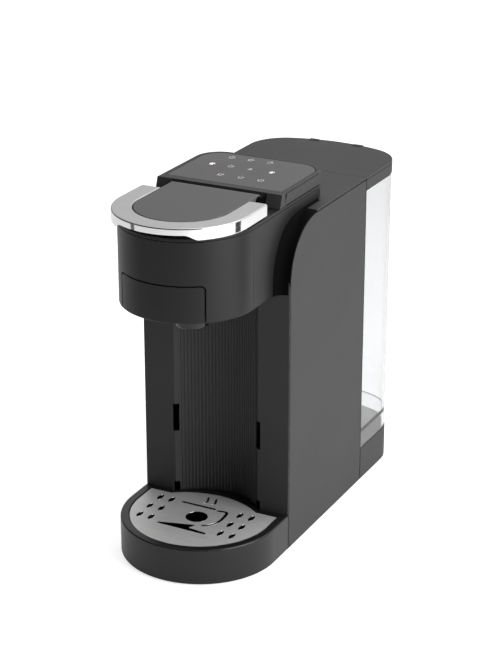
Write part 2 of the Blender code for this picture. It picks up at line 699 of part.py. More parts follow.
def make_spout_cover(frame):
    """The outlined panel at the front of the head, with two tongues over the bottom plate."""
    outer = HEAD_HALF
    inner = HEAD_HALF - HEAD_WALL
    spread = math.degrees(math.asin(COVER_HALF / outer))
    front = arc(0, HEAD_AXIS_Y, outer, 270 - spread, 270 + spread, 18)
    back = arc(0, HEAD_AXIS_Y, inner, 270 + spread, 270 - spread, 18)
    cover = prism("spout_cover", [front + back], HEAD_BOTTOM_Z + GAP, COVER_TOP_Z)
    for side, sign in (("left", -1), ("right", 1)):
        middle = sign * COVER_TONGUE_X
        wall_y = HEAD_AXIS_Y - math.sqrt(inner ** 2 - COVER_TONGUE_X ** 2)
        low = (middle - COVER_TONGUE_WIDTH / 2, wall_y - HEAD_WALL / 2, HEAD_PLATE_TOP_Z + GAP)
        high = (middle + COVER_TONGUE_WIDTH / 2, wall_y + COVER_TONGUE_LENGTH,
                HEAD_PLATE_TOP_Z + GAP + HEAD_PLATE)
        join(cover, box(f"cover_{side}_tongue", low, high))
    SHOP.finish(cover, "dark_casing", frame)


def make_head_deck():
    """The ring plate under the lid and the console, with the ears of the lid hinge."""
    pod_hole = arc(0, BREW_Y, POD_RADIUS + GAP, 0, 350, 35)
    slot_half = EAR_X
    slot_reach = LID_HINGE_RADIUS + RUNNING
    hinge_slot = rectangle(-slot_half, slot_half, -slot_reach, slot_reach)
    wire_hole = rectangle(-0.030, 0.030, 0.024, 0.070)
    latch_slot = rectangle(-LATCH_HALF - 0.001, LATCH_HALF + 0.001, LATCH_Y - 0.0035,
                           LATCH_Y + 0.003)
    ring = prism("head_deck", [head_outline(0), pod_hole, hinge_slot, wire_hole, latch_slot],
                 RING_Z, RING_TOP_Z)
    for side, sign in (("left", -1), ("right", 1)):
        near, far = sorted((sign * EAR_X, sign * (EAR_X + EAR_WIDTH)))
        outline = [(-EAR_RADIUS, RING_TOP_Z - 0.001), (EAR_RADIUS, RING_TOP_Z - 0.001)]
        outline += arc(0, HINGE_Z, EAR_RADIUS, 0, 180, 8)
        ear = prism(f"hinge_{side}_ear", [outline], near, far, "X")
        bore = cylinder(f"hinge_{side}_bore", (0, HINGE_Z), HINGE_PIN_RADIUS + GAP,
                        near - 0.001, far + 0.001, "X", TINY_ROUND)
        join(ring, ear)
        cut(ring, bore)
    SHOP.finish(ring, "dark_casing")


def make_console():
    """The touch console behind the lid: housing, side band, panel and board."""
    wall = HEAD_OUTER_BAND
    back = head_outline(wall)
    front_y = CONSOLE_FOOT_Y
    outline = [(x, y) for x, y in back if y > front_y]
    outline = [(-HEAD_HALF + wall, front_y), (HEAD_HALF - wall, front_y)] + outline
    housing = prism("console_housing", [outline], CONSOLE_Z, TOP_Z)
    inset = wall + CONSOLE_WALL
    inside = [(x, y) for x, y in head_outline(inset) if y > front_y]
    inside = [(-HEAD_HALF + inset, CONSOLE_FRONT_Y + CONSOLE_WALL),
              (HEAD_HALF - inset, CONSOLE_FRONT_Y + CONSOLE_WALL)] + inside
    hollow = prism("console_inside_cutter", [inside], CONSOLE_Z - 0.002, TOP_Z - CONSOLE_WALL)
    pocket = prism("touch_pocket_cutter", [touch_outline(GAP)],
                   TOP_Z - TOUCH_THICKNESS - GAP, TOP_Z + 0.002)
    slope = [(-0.010, CONSOLE_Z - 0.001), (CONSOLE_FOOT_Y, CONSOLE_Z - 0.001),
             (CONSOLE_FRONT_Y, TOP_Z + 0.001), (-0.010, TOP_Z + 0.001)]
    sloped_front = prism("console_slope_cutter", [slope], -HALF, HALF, "X")
    lid_bay_half = EAR_X + EAR_WIDTH + RUNNING
    lid_bay = box("console_lid_bay_cutter", (-lid_bay_half, -0.010, CONSOLE_Z - 0.002),
                  (lid_bay_half, CONSOLE_FRONT_Y, TOP_Z + 0.002))
    cut(housing, hollow, pocket, sloped_front, lid_bay)
    SHOP.finish(housing, "casing")

    outer = [(x, y) for x, y in head_outline(0) if y > BAND_FRONT_Y]
    inner = [(x, y) for x, y in head_outline(BAND_THICKNESS) if y > BAND_FRONT_Y]
    band_outline = ([(HEAD_HALF, BAND_FRONT_Y)] + outer + [(-HEAD_HALF, BAND_FRONT_Y)]
                    + [(BAND_THICKNESS - HEAD_HALF, BAND_FRONT_Y)] + inner[::-1]
                    + [(HEAD_HALF - BAND_THICKNESS, BAND_FRONT_Y)])
    band = prism("console_band", [band_outline], CONSOLE_Z, CONSOLE_Z + BAND_HEIGHT)
    SHOP.finish(band, "dark_casing")

    panel = prism("touch_panel", [touch_outline(0)], TOP_Z - TOUCH_THICKNESS, TOP_Z)
    SHOP.finish(panel, "panel_gloss")
    board_top = TOP_Z - CONSOLE_WALL - GAP
    board = box("touch_board", (-TOUCH_BOARD_HALF, 0.022, board_top - 0.0016),
                (TOUCH_BOARD_HALF, 0.080, board_top))
    SHOP.finish(board, "circuit_board")


# --- lid -----------------------------------------------------------------------------------------
def make_lid_panel(frame):
    """The lid's top plate, hollow below, with the hinge barrel across its rear."""
    lid = prism("lid_panel", [d_outline(LID_RADIUS, HANDLE_AXIS_Y, 0)], HINGE_Z, TOP_Z)
    barrel = cylinder("lid_barrel", (0, HINGE_Z), LID_HINGE_RADIUS, -LID_RADIUS, LID_RADIUS,
                      "X", 2 * TINY_ROUND)
    hollow = prism("lid_hollow_cutter",
                   [d_outline(LID_RADIUS - LID_WALL, HANDLE_AXIS_Y, -LID_HINGE_RADIUS - LID_WALL)],
                   HINGE_Z - 0.002, TOP_Z - LID_WALL)
    bore = cylinder("lid_bore_cutter", (0, HINGE_Z), HINGE_PIN_RADIUS + GAP, -HALF, HALF, "X",
                    TINY_ROUND)
    join(lid, barrel)
    cut(lid, hollow, bore)
    SHOP.finish(lid, "casing", frame)


def make_lid_handle(frame):
    """The chrome band round the lid, with a finger notch under its front."""
    outer = d_outline(HANDLE_RADIUS, HANDLE_AXIS_Y, HANDLE_END_Y)
    inner = arc(0, HANDLE_AXIS_Y, HANDLE_RADIUS - HANDLE_BAND, 360, 180, ROUND)
    inner_half = HANDLE_RADIUS - HANDLE_BAND
    band = outer[:-1] + [(inner_half, HANDLE_END_Y)] + inner
    band += [(-inner_half, HANDLE_END_Y), (-HANDLE_RADIUS, HANDLE_END_Y)]
    handle = prism("lid_handle", [band], HANDLE_Z, TOP_Z)
    notch = [(-HANDLE_NOTCH_HALF - HANDLE_NOTCH_SLOPE, HANDLE_Z - 0.002)]
    for sign in (-1, 1):
        for step in range(7):
            share = step / 6 if sign < 0 else 1 - step / 6
            rise = (1 - math.cos(math.pi * share)) / 2
            x = sign * (HANDLE_NOTCH_HALF + HANDLE_NOTCH_SLOPE * (1 - share))
            notch.append((x, HANDLE_Z + HANDLE_NOTCH_HEIGHT * rise))
    notch.append((HANDLE_NOTCH_HALF + HANDLE_NOTCH_SLOPE, HANDLE_Z - 0.002))
    finger_notch = prism("finger_notch_cutter", [notch], FRONT_Y - 0.005,
                         HANDLE_AXIS_Y - HANDLE_RADIUS + HANDLE_BAND + 0.012, "Y")
    cut(handle, finger_notch)
    SHOP.finish(handle, "chrome", frame)


def make_lid_inner(frame):
    """What the lid carries below: plate, needle, seal and latch hook."""
    plate_rear = -LID_HINGE_RADIUS - LID_WALL
    plate_half = HANDLE_RADIUS - HANDLE_BAND - GAP
    needle_hole = arc(0, BREW_Y, HINGE_PIN_RADIUS + GAP, 0, 330, 11)
    plate = prism("lid_inner_plate",
                  [d_outline(plate_half, HANDLE_AXIS_Y, plate_rear), needle_hole],
                  LID_PLATE_Z, LID_PLATE_TOP_Z)
    SHOP.finish(plate, "dark_casing", frame)

    shank = HINGE_PIN_RADIUS
    head_z = LID_PLATE_TOP_Z + GAP
    needle = turned("upper_needle", [
        (0, head_z + 0.002), (0.004, head_z + 0.002), (0.004, head_z), (shank, head_z),
        (shank, LID_PLATE_Z - 0.014), (0, LID_PLATE_Z - 0.018)], (0, BREW_Y), TINY_ROUND, False)
    SHOP.finish(needle, "satin_steel", frame)

    seal_top = LID_PLATE_Z - GAP
    seal = turned("lid_seal", [(0.015, seal_top), (0.0146, seal_top - 0.0016),
                               (0.0124, seal_top - 0.0016), (0.012, seal_top)], (0, BREW_Y))
    SHOP.finish(seal, "silicone", frame)

    hook = box("lid_latch", (-LATCH_HALF, LATCH_Y - 0.001, RING_Z - 0.006),
               (LATCH_HALF, LATCH_Y + 0.0015, LID_PLATE_Z - GAP))
    barb = box("latch_barb", (-LATCH_HALF, LATCH_Y - 0.0018, RING_Z - 0.006),
               (LATCH_HALF, LATCH_Y, RING_Z - 0.003))
    join(hook, barb)
    SHOP.finish(hook, "white_plastic", frame)


def make_hinge_pin():
    """The steel pin through the ears and the lid's barrel."""
    reach = EAR_X + EAR_WIDTH
    pin = cylinder("lid_hinge_pin", (0, HINGE_Z), HINGE_PIN_RADIUS, -reach, reach, "X", TINY_ROUND)
    SHOP.finish(pin, "satin_steel")


# --- brewing -------------------------------------------------------------------------------------
def make_pod_chamber():
    """Pod holder, lower needle, funnel, spout and lid switch."""
    flange = POD_RADIUS + POD_FLANGE
    foot = POD_FOOT_RADIUS
    holder = turned("pod_holder", [
        (flange, POD_FLANGE_TOP_Z), (flange, RING_TOP_Z + GAP), (POD_RADIUS, RING_TOP_Z + GAP),
        (foot, POD_BOTTOM_Z + 0.002), (foot - 0.002, POD_BOTTOM_Z), (0.003, POD_BOTTOM_Z),
        (0.003, POD_BOTTOM_Z + POD_WALL), (foot - 0.003, POD_BOTTOM_Z + POD_WALL),
        (foot - POD_WALL, POD_BOTTOM_Z + 0.003), (POD_RADIUS - POD_WALL, POD_FLANGE_TOP_Z)],
        (0, BREW_Y), 30)
    SHOP.finish(holder, "dark_casing")

    needle_z = POD_BOTTOM_Z + POD_WALL + GAP
    needle = turned("lower_needle", [
        (0, needle_z + 0.011), (0.0015, needle_z + 0.007), (0.0015, needle_z + 0.0015),
        (0.0035, needle_z + 0.0015), (0.0035, needle_z), (0, needle_z)],
        (POD_FOOT_RADIUS - 0.0103, BREW_Y), TINY_ROUND, False)
    SHOP.finish(needle, "satin_steel")

    neck_z = HEAD_PLATE_TOP_Z + 0.005
    socket = SPOUT_NECK + GAP
    rim_z = POD_BOTTOM_Z - GAP
    rim = POD_FOOT_RADIUS - GAP
    lip = rim - POD_WALL
    funnel = turned("brew_funnel", [
        (rim, rim_z), (rim, rim_z - 0.004), (0.011, neck_z), (0.011, HEAD_PLATE_TOP_Z + GAP),
        (socket, HEAD_PLATE_TOP_Z + GAP), (socket, neck_z + GAP), (SPOUT_BORE, neck_z + GAP),
        (SPOUT_BORE, neck_z + 0.0025), (lip, rim_z - 0.003), (lip, rim_z)],
        (0, BREW_Y), 24)
    SHOP.finish(funnel, "dark_casing")

    collar_z = HEAD_BOTTOM_Z - GAP
    spout = turned("spout", [
        (SPOUT_NECK, neck_z), (SPOUT_NECK, collar_z), (SPOUT_RADIUS + 0.0017, collar_z),
        (SPOUT_RADIUS + 0.0017, collar_z - 0.004), (SPOUT_RADIUS, collar_z - 0.009),
        (SPOUT_RADIUS, SPOUT_TIP_Z + 0.0015), (SPOUT_RADIUS - 0.001, SPOUT_TIP_Z),
        (SPOUT_RADIUS - 0.003, SPOUT_TIP_Z), (SPOUT_RADIUS - 0.003, SPOUT_TIP_Z + 0.006),
        (SPOUT_BORE, SPOUT_TIP_Z + 0.009), (SPOUT_BORE, neck_z)], (0, BREW_Y), 24)
    SHOP.finish(spout, "panel_gloss")

    switch_top = RING_Z - GAP
    switch = box("lid_switch", (-0.005, LATCH_Y + 0.005, switch_top - 0.008),
                 (0.005, LATCH_Y + 0.013, switch_top))
    SHOP.finish(switch, "white_plastic")


# --- tank ----------------------------------------------------------------------------------------
def make_water_tank(frame):
    """The clear tank with a raised floor and two knuckles for its lid."""
    wall = TANK_INSET + TANK_WALL
    tank = prism("water_tank", [tank_outline(TANK_INSET, TANK_FRONT_Y + TANK_INSET)], TANK_Z,
                 TANK_TOP_Z)
    cavity_front = TANK_FRONT_Y + wall
    inside = prism("tank_inside_cutter", [tank_outline(wall, cavity_front)], TANK_FLOOR_Z,
                   TANK_TOP_Z + 0.004)
    below = prism("tank_below_cutter", [tank_outline(wall, cavity_front)], TANK_Z - 0.004,
                  TANK_UNDER_Z)
    valve_hole = cylinder("tank_valve_cutter", (0, VALVE_Y), VALVE_RADIUS + GAP,
                          TANK_UNDER_Z - 0.003, TANK_FLOOR_Z + 0.003)
    cut(tank, inside, below, valve_hole)
    for side, sign in (("left", -1), ("right", 1)):
        near, far = sorted((sign * KNUCKLE_X - KNUCKLE_HALF, sign * KNUCKLE_X + KNUCKLE_HALF))
        stem = box(f"knuckle_{side}_stem", (near, KNUCKLE_Y - KNUCKLE_STEM, TANK_TOP_Z - 0.004),
                   (far, KNUCKLE_Y + KNUCKLE_STEM / 2, KNUCKLE_Z))
        knuckle = cylinder(f"knuckle_{side}_eye", (KNUCKLE_Y, KNUCKLE_Z), KNUCKLE_RADIUS, near,
                           far, "X", SMALL_ROUND)
        bore = cylinder(f"knuckle_{side}_bore", (KNUCKLE_Y, KNUCKLE_Z), TANK_PIN_RADIUS + GAP,
                        near - 0.001, far + 0.001, "X", TINY_ROUND)
        join(stem, knuckle)
        join(tank, stem)
        cut(tank, bore)
    SHOP.finish(tank, "clear_tank", frame)


def make_tank_lid(frame):
    """The tank's lid: a shallow shell with notches for the knuckles and cheeks for the pins."""
    lid = prism("tank_lid", [tank_outline(0, TANK_FRONT_Y)], TANK_LID_Z, DECK_Z)
    inside = prism("tank_lid_inside_cutter",
                   [tank_outline(TANK_LID_WALL, TANK_FRONT_Y + TANK_LID_WALL)],
                   TANK_LID_Z - 0.002, DECK_Z - TANK_LID_WALL)
    depth = KNUCKLE_Z - TANK_LID_Z
    relief_z = KNUCKLE_Z - math.sqrt(depth ** 2 - (TANK_REAR_Y - KNUCKLE_Y) ** 2)
    swing_relief = box("tank_lid_swing_cutter", (-HALF, KNUCKLE_Y, TANK_LID_Z - 0.002),
                       (HALF, TANK_REAR_Y + 0.01, relief_z))
    cut(lid, inside, swing_relief)
    reach = KNUCKLE_RADIUS + RUNNING
    notch_half = KNUCKLE_HALF + RUNNING
    for side, sign in (("left", -1), ("right", 1)):
        middle = sign * KNUCKLE_X
        cheek = box(f"tank_lid_{side}_cheek",
                    (middle - notch_half - KNUCKLE_CHEEK, KNUCKLE_Y - 0.003, KNUCKLE_Z - 0.003),
                    (middle + notch_half + KNUCKLE_CHEEK, KNUCKLE_Y + 0.0005, DECK_Z - 0.001))
        join(lid, cheek)
        notch = box(f"tank_lid_{side}_notch", (middle - notch_half, KNUCKLE_Y - reach, 0.25),
                    (middle + notch_half, TANK_REAR_Y + 0.01, DECK_Z + 0.01))
        pin_half = notch_half + KNUCKLE_CHEEK
        bore = cylinder(f"tank_lid_{side}_bore", (KNUCKLE_Y, KNUCKLE_Z), TANK_PIN_RADIUS + GAP,
                        middle - pin_half - 0.003, middle + pin_half + 0.003, "X", TINY_ROUND)
        cut(lid, notch, bore)
        pin = cylinder(f"tank_lid_pin_{side}", (KNUCKLE_Y, KNUCKLE_Z), TANK_PIN_RADIUS,
                       middle - pin_half, middle + pin_half, "X", TINY_ROUND)
        SHOP.finish(pin, "satin_steel", frame)
    SHOP.finish(lid, "casing", frame)


def make_tank_valve(frame):
    """The valve in the tank's floor, its spring and the strainer over it."""
    tip_z = SEAT_SEAL_TOP_Z + GAP
    valve = turned("tank_valve", [
        (0.0105, TANK_FLOOR_Z + 0.002), (0.0105, TANK_FLOOR_Z + GAP),
        (VALVE_RADIUS, TANK_FLOOR_Z + GAP), (VALVE_RADIUS, tip_z), (0.0045, tip_z),
        (0.0045, TANK_FLOOR_Z + 0.002)], (0, VALVE_Y), 24)
    SHOP.finish(valve, "white_plastic", frame)

    turns = 3
    per_turn = 9
    spring_low = tip_z + 0.001
    spring_height = 0.009
    helix = []
    for step in range(turns * per_turn + 1):
        angle = 2 * math.pi * step / per_turn
        height = spring_low + spring_height * step / (turns * per_turn)
        helix.append((0.0037 * math.cos(angle), VALVE_Y + 0.0037 * math.sin(angle), height))
    SHOP.finish(tube("valve_spring", helix, 0.0004), "satin_steel", frame)

    low = TANK_FLOOR_Z + 0.002 + GAP
    strainer = turned("tank_strainer", [
        (0.0, low + 0.012), (0.006, low + 0.012), (0.009, low + 0.009), (0.0095, low),
        (0.0083, low), (0.0078, low + 0.0085), (0.0055, low + 0.0108), (0, low + 0.0108)],
        (0, VALVE_Y), 20, False)
    SHOP.finish(strainer, "white_plastic", frame)


def make_tank_seat():
    """The socket in the pedestal that opens the tank's valve, and its seal."""
    rim_z = SEAT_SEAL_TOP_Z + 0.005
    flange_z = PEDESTAL_Z + GAP
    seat = turned("tank_seat", [
        (0, 0.013), (0.0076, 0.0135), (0.0076, SEAT_SEAL_Z - GAP), (0.0094, SEAT_SEAL_Z - GAP),
        (0.0094, rim_z), (0.0115, rim_z), (0.0115, flange_z + 0.0015), (0.0145, flange_z + 0.0015),
        (0.0145, flange_z), (0.0096, flange_z), (0.0096, 0.011), (0, 0.011)],
        (0, VALVE_Y), SMALL_ROUND, False)
    nozzle = cylinder("seat_nozzle", (0, FEED_Z), NOZZLE_RADIUS, SEAT_NOZZLE_Y, VALVE_Y - 0.0085,
                      "Y", TINY_ROUND)
    join(seat, nozzle)
    SHOP.finish(seat, "dark_casing")
    seal = turned("seat_seal", [(0.0091, SEAT_SEAL_TOP_Z), (0.0091, SEAT_SEAL_Z),
                                (0.0058, SEAT_SEAL_Z), (0.0058, SEAT_SEAL_TOP_Z)],
                  (0, VALVE_Y), 24)
    SHOP.finish(seal, "silicone")


# --- drip tray -----------------------------------------------------------------------------------
def make_drip_tray(frame):
    """The tray: a D that follows the hollow of the column, with two hooks."""
    outline = bulged_outline(HALF, TRAY_AXIS_Y, -RUNNING, RECESS_AXIS_Y,
                             RECESS_RADIUS - RUNNING)
    tray = prism("drip_tray", [outline], FLOOR_CLEARANCE, TRAY_TOP_Z)
    pocket = prism("grate_pocket_cutter", [grate_outline(RUNNING)], GRATE_Z - GAP,
                   TRAY_TOP_Z + 0.003)
    well = prism("tray_well_cutter", [grate_outline(-GRATE_LEDGE)],
                 FLOOR_CLEARANCE + TRAY_FLOOR, TRAY_TOP_Z)
    cut(tray, pocket, well)
    for side, sign in (("left", -1), ("right", 1)):
        middle = sign * (SLOT_INNER_X + SLOT_WIDTH / 2)
        hook = box(f"tray_{side}_hook",
                   (middle - HOOK_WIDTH / 2, -0.002 - RUNNING, LOW_SLOT_Z + RUNNING),
                   (middle + HOOK_WIDTH / 2, HOOK_LENGTH, LOW_SLOT_Z + RUNNING + HOOK_HEIGHT))
        join(tray, hook)
    SHOP.finish(tray, "dark_casing", frame)


def leaf(x, y):
    """A pointed oval slot that lies along Y."""
    half = LEAF_LENGTH / 2
    rise = LEAF_WIDTH / 2
    points = []
    for step in range(12):
        angle = 2 * math.pi * step / 12
        points.append((x + rise * math.sin(angle) * abs(math.sin(angle)) ** 0.3,
                       y + half * math.cos(angle)))
    return points


def bar_slot(start, end, width):
    """A straight slot with round ends."""
    start = Vector(start)
    end = Vector(end)
    heading = math.degrees(math.atan2(end.y - start.y, end.x - start.x))
    radius = width / 2
    return (arc(end.x, end.y, radius, heading - 90, heading + 90, 4)
            + arc(start.x, start.y, radius, heading + 90, heading + 270, 4))


def cup_slots():
    """A simple cup drawn as slots round the centre hole: rim, side, saucer and steam."""
    rim = bar_slot((-0.0225, -0.0152), (0.0070, -0.0154), 0.0016)
    handle = (arc(0.0128, -0.0172, 0.0062, 80, -50, 6)
              + [(0.0150, -0.0330), (0.0118, -0.0445), (0.0094, -0.0440), (0.0112, -0.0330)]
              + arc(0.0128, -0.0172, 0.0042, -60, 80, 6))
    saucer = [(-0.0235, -0.0560), (-0.0235, -0.0545), (0.0060, -0.0462), (0.0030, -0.0526),
              (0.0196, -0.0548), (0.0196, -0.0562)]
    steam = []
    for x in (-0.0068, 0.0004):
        left = [(x + 0.0012 * math.sin(t * 5) + 0.0004 * t, -0.0098 + 0.0108 * t)
                for t in (0, 0.25, 0.5, 0.75, 1)]
        right = [(a + 0.0011, b) for a, b in left[::-1]]
        steam.append(left + right)
    return [rim, handle, saucer] + steam


def make_drip_grate(frame):
    """The steel grate with its leaf slots, centre hole and cup figure."""
    holes = [arc(0, GRATE_HOLE_Y, GRATE_HOLE_RADIUS, 0, 345, 23)]
    for x in (-0.0430, -0.0326, 0.0300, 0.0403):
        for y in (-0.0160, -0.0330, -0.0495):
            holes.append(leaf(x, y))
    grate = prism("drip_grate", [grate_outline(0)] + holes + cup_slots(), GRATE_Z, GRATE_TOP_Z)
    SHOP.finish(grate, "satin_steel", frame)


# --- inside the body -----------------------------------------------------------------------------
def make_chassis():
    """The upright plate that carries the heater and the board, on two screwed feet."""
    window = rectangle(-0.020, 0.004, 0.030, 0.110)
    outline = rectangle(-CHASSIS_HALF, CHASSIS_HALF, BASE_TOP_Z + GAP, CHASSIS_TOP_Z)
    chassis = prism("inner_chassis", [outline, window], CHASSIS_Y, CHASSIS_REAR_Y, "Y")
    for side in ("left", "right"):
        x, y = SCREW_SPOTS["front_" + side]
        foot = box(f"chassis_{side}_foot", (x - 0.006, CHASSIS_REAR_Y - 0.001, BASE_TOP_Z + GAP),
                   (x + 0.006, y + 0.006, BASE_TOP_Z + GAP + 0.007))
        bore = cylinder(f"chassis_{side}_bore", (x, y), SCREW_RADIUS + SCREW_CLEARANCE,
                        BASE_TOP_Z - 0.001, BASE_TOP_Z + 0.009, facets=TINY_ROUND)
        join(chassis, foot)
        cut(chassis, bore)
    SHOP.finish(chassis, "dark_casing")


def make_pump():
    """The vibration pump on its bracket."""
    half = PUMP_COIL / 2
    top_z = PUMP_COIL_Z + PUMP_COIL_HEIGHT
    pump = box("pump", (PUMP_X - half, PUMP_Y - half, PUMP_COIL_Z),
               (PUMP_X + half, PUMP_Y + half, top_z))
    stages = [("pump_barrel", 0.008, PUMP_COIL_Z - 0.014, PUMP_COIL_Z + 0.002),
              ("pump_inlet", NOZZLE_RADIUS, PUMP_INLET_Z, PUMP_COIL_Z - 0.012),
              ("pump_head", 0.010, top_z - 0.002, top_z + 0.020),
              ("pump_outlet", NOZZLE_RADIUS, top_z + 0.018, PUMP_OUTLET_Z)]
    for name, radius, low, high in stages:
        join(pump, cylinder(name, (PUMP_X, PUMP_Y), radius, low, high, facets=16))
    SHOP.finish(pump, "brass")

    leg_reach = half + 0.003
    plate_top = PUMP_COIL_Z - GAP
    hole = arc(PUMP_X, PUMP_Y, 0.0083, 0, 345, 15)
    plate = prism("pump_bracket", [rectangle(PUMP_X - half, PUMP_X + half, PUMP_Y - leg_reach,
                                             PUMP_Y + leg_reach), hole],
                  plate_top - 0.003, plate_top)
    for end, low_y in (("front", PUMP_Y - leg_reach), ("rear", PUMP_Y + leg_reach - 0.003)):
        join(plate, box(f"pump_bracket_{end}", (PUMP_X - half, low_y, BASE_TOP_Z + GAP),
                        (PUMP_X + half, low_y + 0.003, plate_top - 0.001)))
    SHOP.finish(plate, "rubber")


def make_flow_meter():
    """The flow meter on the base plate, with its two nozzles."""
    meter = cylinder("flow_meter", (METER_X, PUMP_Y), METER_RADIUS, BASE_TOP_Z + GAP, 0.022,
                     facets=24)
    inlet = cylinder("meter_inlet", (0, FEED_Z), NOZZLE_RADIUS, PUMP_Y + 0.001, METER_INLET_Y,
                     "Y", TINY_ROUND)
    outlet = cylinder("meter_outlet", (PUMP_Y, FEED_Z), NOZZLE_RADIUS, METER_OUTLET_X, METER_X,
                      "X", TINY_ROUND)
    join(meter, inlet, outlet)
    SHOP.finish(meter, "white_plastic")


def make_heater():
    """The heater block with its nozzles, thermostat and thermal fuse."""
    width, depth, height = HEATER_SIZE
    front = CHASSIS_REAR_Y + GAP
    block = box("heater_block", (HEATER_X - width / 2, front, HEATER_Z),
                (HEATER_X + width / 2, front + depth, HEATER_Z + height))
    rib_gap = width / 7
    for i in range(6):
        x = HEATER_X - width / 2 + rib_gap * (i + 0.75)
        cut(block, box(f"heater_groove_{i}", (x, front + depth - 0.003, HEATER_Z + 0.036),
                       (x + rib_gap / 2, front + depth + 0.001, HEATER_Z + height + 0.001)))
    middle_y = front + depth / 2
    inlet = cylinder("heater_inlet", (HEATER_X, middle_y), NOZZLE_RADIUS, HEATER_Z - 0.007,
                     HEATER_Z + 0.002, facets=TINY_ROUND)
    outlet = cylinder("heater_outlet", (HEATER_X, middle_y), NOZZLE_RADIUS,
                      HEATER_Z + height - 0.002, HEATER_Z + height + 0.007, facets=TINY_ROUND)
    join(block, inlet, outlet)
    SHOP.finish(block, "aluminium")

    face = front + depth + GAP
    thermostat = cylinder("thermostat", (HEATER_X - 0.010, HEATER_Z + 0.018), 0.008, face,
                          face + 0.006, "Y")
    SHOP.finish(thermostat, "aluminium")
    fuse = cylinder("thermal_fuse", (face + 0.002, HEATER_Z + 0.018), 0.0019, HEATER_X + 0.002,
                    HEATER_X + 0.018, "X", TINY_ROUND)
    SHOP.finish(fuse, "white_plastic")


def make_boards():
    """The main board with its transformer, relay and capacitors."""
    front = CHASSIS_REAR_Y + GAP
    back = front + 0.0016
    board = box("main_board", (-0.056, front, 0.130), (-0.004, back, 0.225))
    blocks = [("transformer", (-0.050, -0.028), (0.140, 0.162), 0.018),
              ("relay", (-0.022, -0.010), (0.140, 0.158), 0.015),
              ("connector_row", (-0.052, -0.012), (0.214, 0.220), 0.009),
              ("driver", (-0.022, -0.010), (0.190, 0.200), 0.004)]
    for name, (x0, x1), (z0, z1), height in blocks:
        join(board, box(f"board_{name}", (x0, back - 0.0006, z0), (x1, back + height, z1)))
    for i, x in enumerate((-0.045, -0.033)):
        join(board, cylinder(f"board_capacitor_{i}", (x, 0.185), 0.005, back - 0.0006,
                             back + 0.016, "Y", 14))
    SHOP.finish(board, "circuit_board")


def make_hoses():
    """The water's way from the tank's seat to the head."""
    feed = tube("feed_hose", [(0, SEAT_NOZZLE_Y - GAP, FEED_Z),
                              (0, METER_INLET_Y + GAP, FEED_Z)], HOSE_RADIUS)
    SHOP.finish(feed, "silicone")
    start_x = METER_OUTLET_X - GAP
    pump_route = [(start_x, PUMP_Y, FEED_Z), (start_x - 0.010, PUMP_Y, FEED_Z),
                  (start_x - 0.022, PUMP_Y, FEED_Z), (PUMP_X + 0.002, PUMP_Y, FEED_Z + 0.004),
                  (PUMP_X, PUMP_Y, FEED_Z + 0.011), (PUMP_X, PUMP_Y, PUMP_INLET_Z - GAP)]
    SHOP.finish(tube("pump_hose", smooth_route(pump_route, 4), HOSE_RADIUS), "silicone")
    middle_y = CHASSIS_REAR_Y + GAP + HEATER_SIZE[1] / 2
    pressure_route = [(PUMP_X, PUMP_Y, PUMP_OUTLET_Z + GAP), (PUMP_X, PUMP_Y, 0.132),
                      (-0.020, 0.110, 0.145), (0.004, 0.112, 0.130), (0.020, 0.104, 0.095),
                      (0.028, 0.084, 0.074), (HEATER_X, middle_y + 0.003, 0.074),
                      (HEATER_X, middle_y, 0.084), (HEATER_X, middle_y, HEATER_Z - 0.007 - GAP)]
    SHOP.finish(tube("pressure_hose", smooth_route(pressure_route, 3), HOSE_RADIUS), "silicone")
    heater_top = HEATER_Z + HEATER_SIZE[2] + 0.007
    brew_route = [(HEATER_X, middle_y, heater_top + GAP), (HEATER_X, middle_y, DECK_Z - 0.059),
                  (0.026, 0.062, DECK_Z - 0.036), (0.014, 0.044, DECK_Z - 0.024),
                  (0.004, 0.022, DECK_Z - 0.019), (0, 0.011, DECK_Z - 0.013),
                  (0, FITTING_Y, DECK_Z - 0.005), (0, FITTING_Y, FITTING_Z - GAP)]
    SHOP.finish(tube("brew_hose", smooth_route(brew_route, 4), HOSE_RADIUS), "silicone")
    fitting = box("hose_fitting", (-0.006, FITTING_Y - 0.006, FITTING_Z),
                  (0.006, FITTING_Y + 0.008, RING_Z - GAP))
    SHOP.finish(fitting, "white_plastic")


def make_cord_gland():
    """The gland where the mains lead leaves the pedestal's rear."""
    gland = cylinder("cord_gland", (GLAND_X, GLAND_Z), GLAND_RADIUS, GLAND_INNER_Y,
                     GLAND_OUTER_Y, "Y")
    flange = cylinder("gland_flange", (GLAND_X, GLAND_Z), GLAND_RADIUS + 0.002, GLAND_INNER_Y,
                      GLAND_INNER_Y + 0.003, "Y")
    bore = cylinder("gland_bore", (GLAND_X, GLAND_Z), 0.0034, GLAND_OUTER_Y - 0.012,
                    GLAND_OUTER_Y + 0.001, "Y")
    join(gland, flange)
    cut(gland, bore)
    SHOP.finish(gland, "rubber")


def make_feet_and_screws():
    """Four rubber feet and four base screws."""
    for name, (x, y) in FOOT_SPOTS.items():
        foot = cylinder(f"foot_{name}", (x, y), FOOT_RADIUS, 0, FOOT_HEIGHT)
        SHOP.finish(foot, "rubber")
    for name, (x, y) in SCREW_SPOTS.items():
        head_top = BASE_Z - GAP
        screw = turned(f"base_screw_{name}", [
            (0, 0.013), (SCREW_RADIUS - 0.0003, 0.013), (SCREW_RADIUS, 0.012),
            (SCREW_RADIUS, head_top), (0.0032, head_top), (0.0028, head_top - 0.0013),
            (0, head_top - 0.0013)], (x, y), TINY_ROUND, False)
        SHOP.finish(screw, "satin_steel")


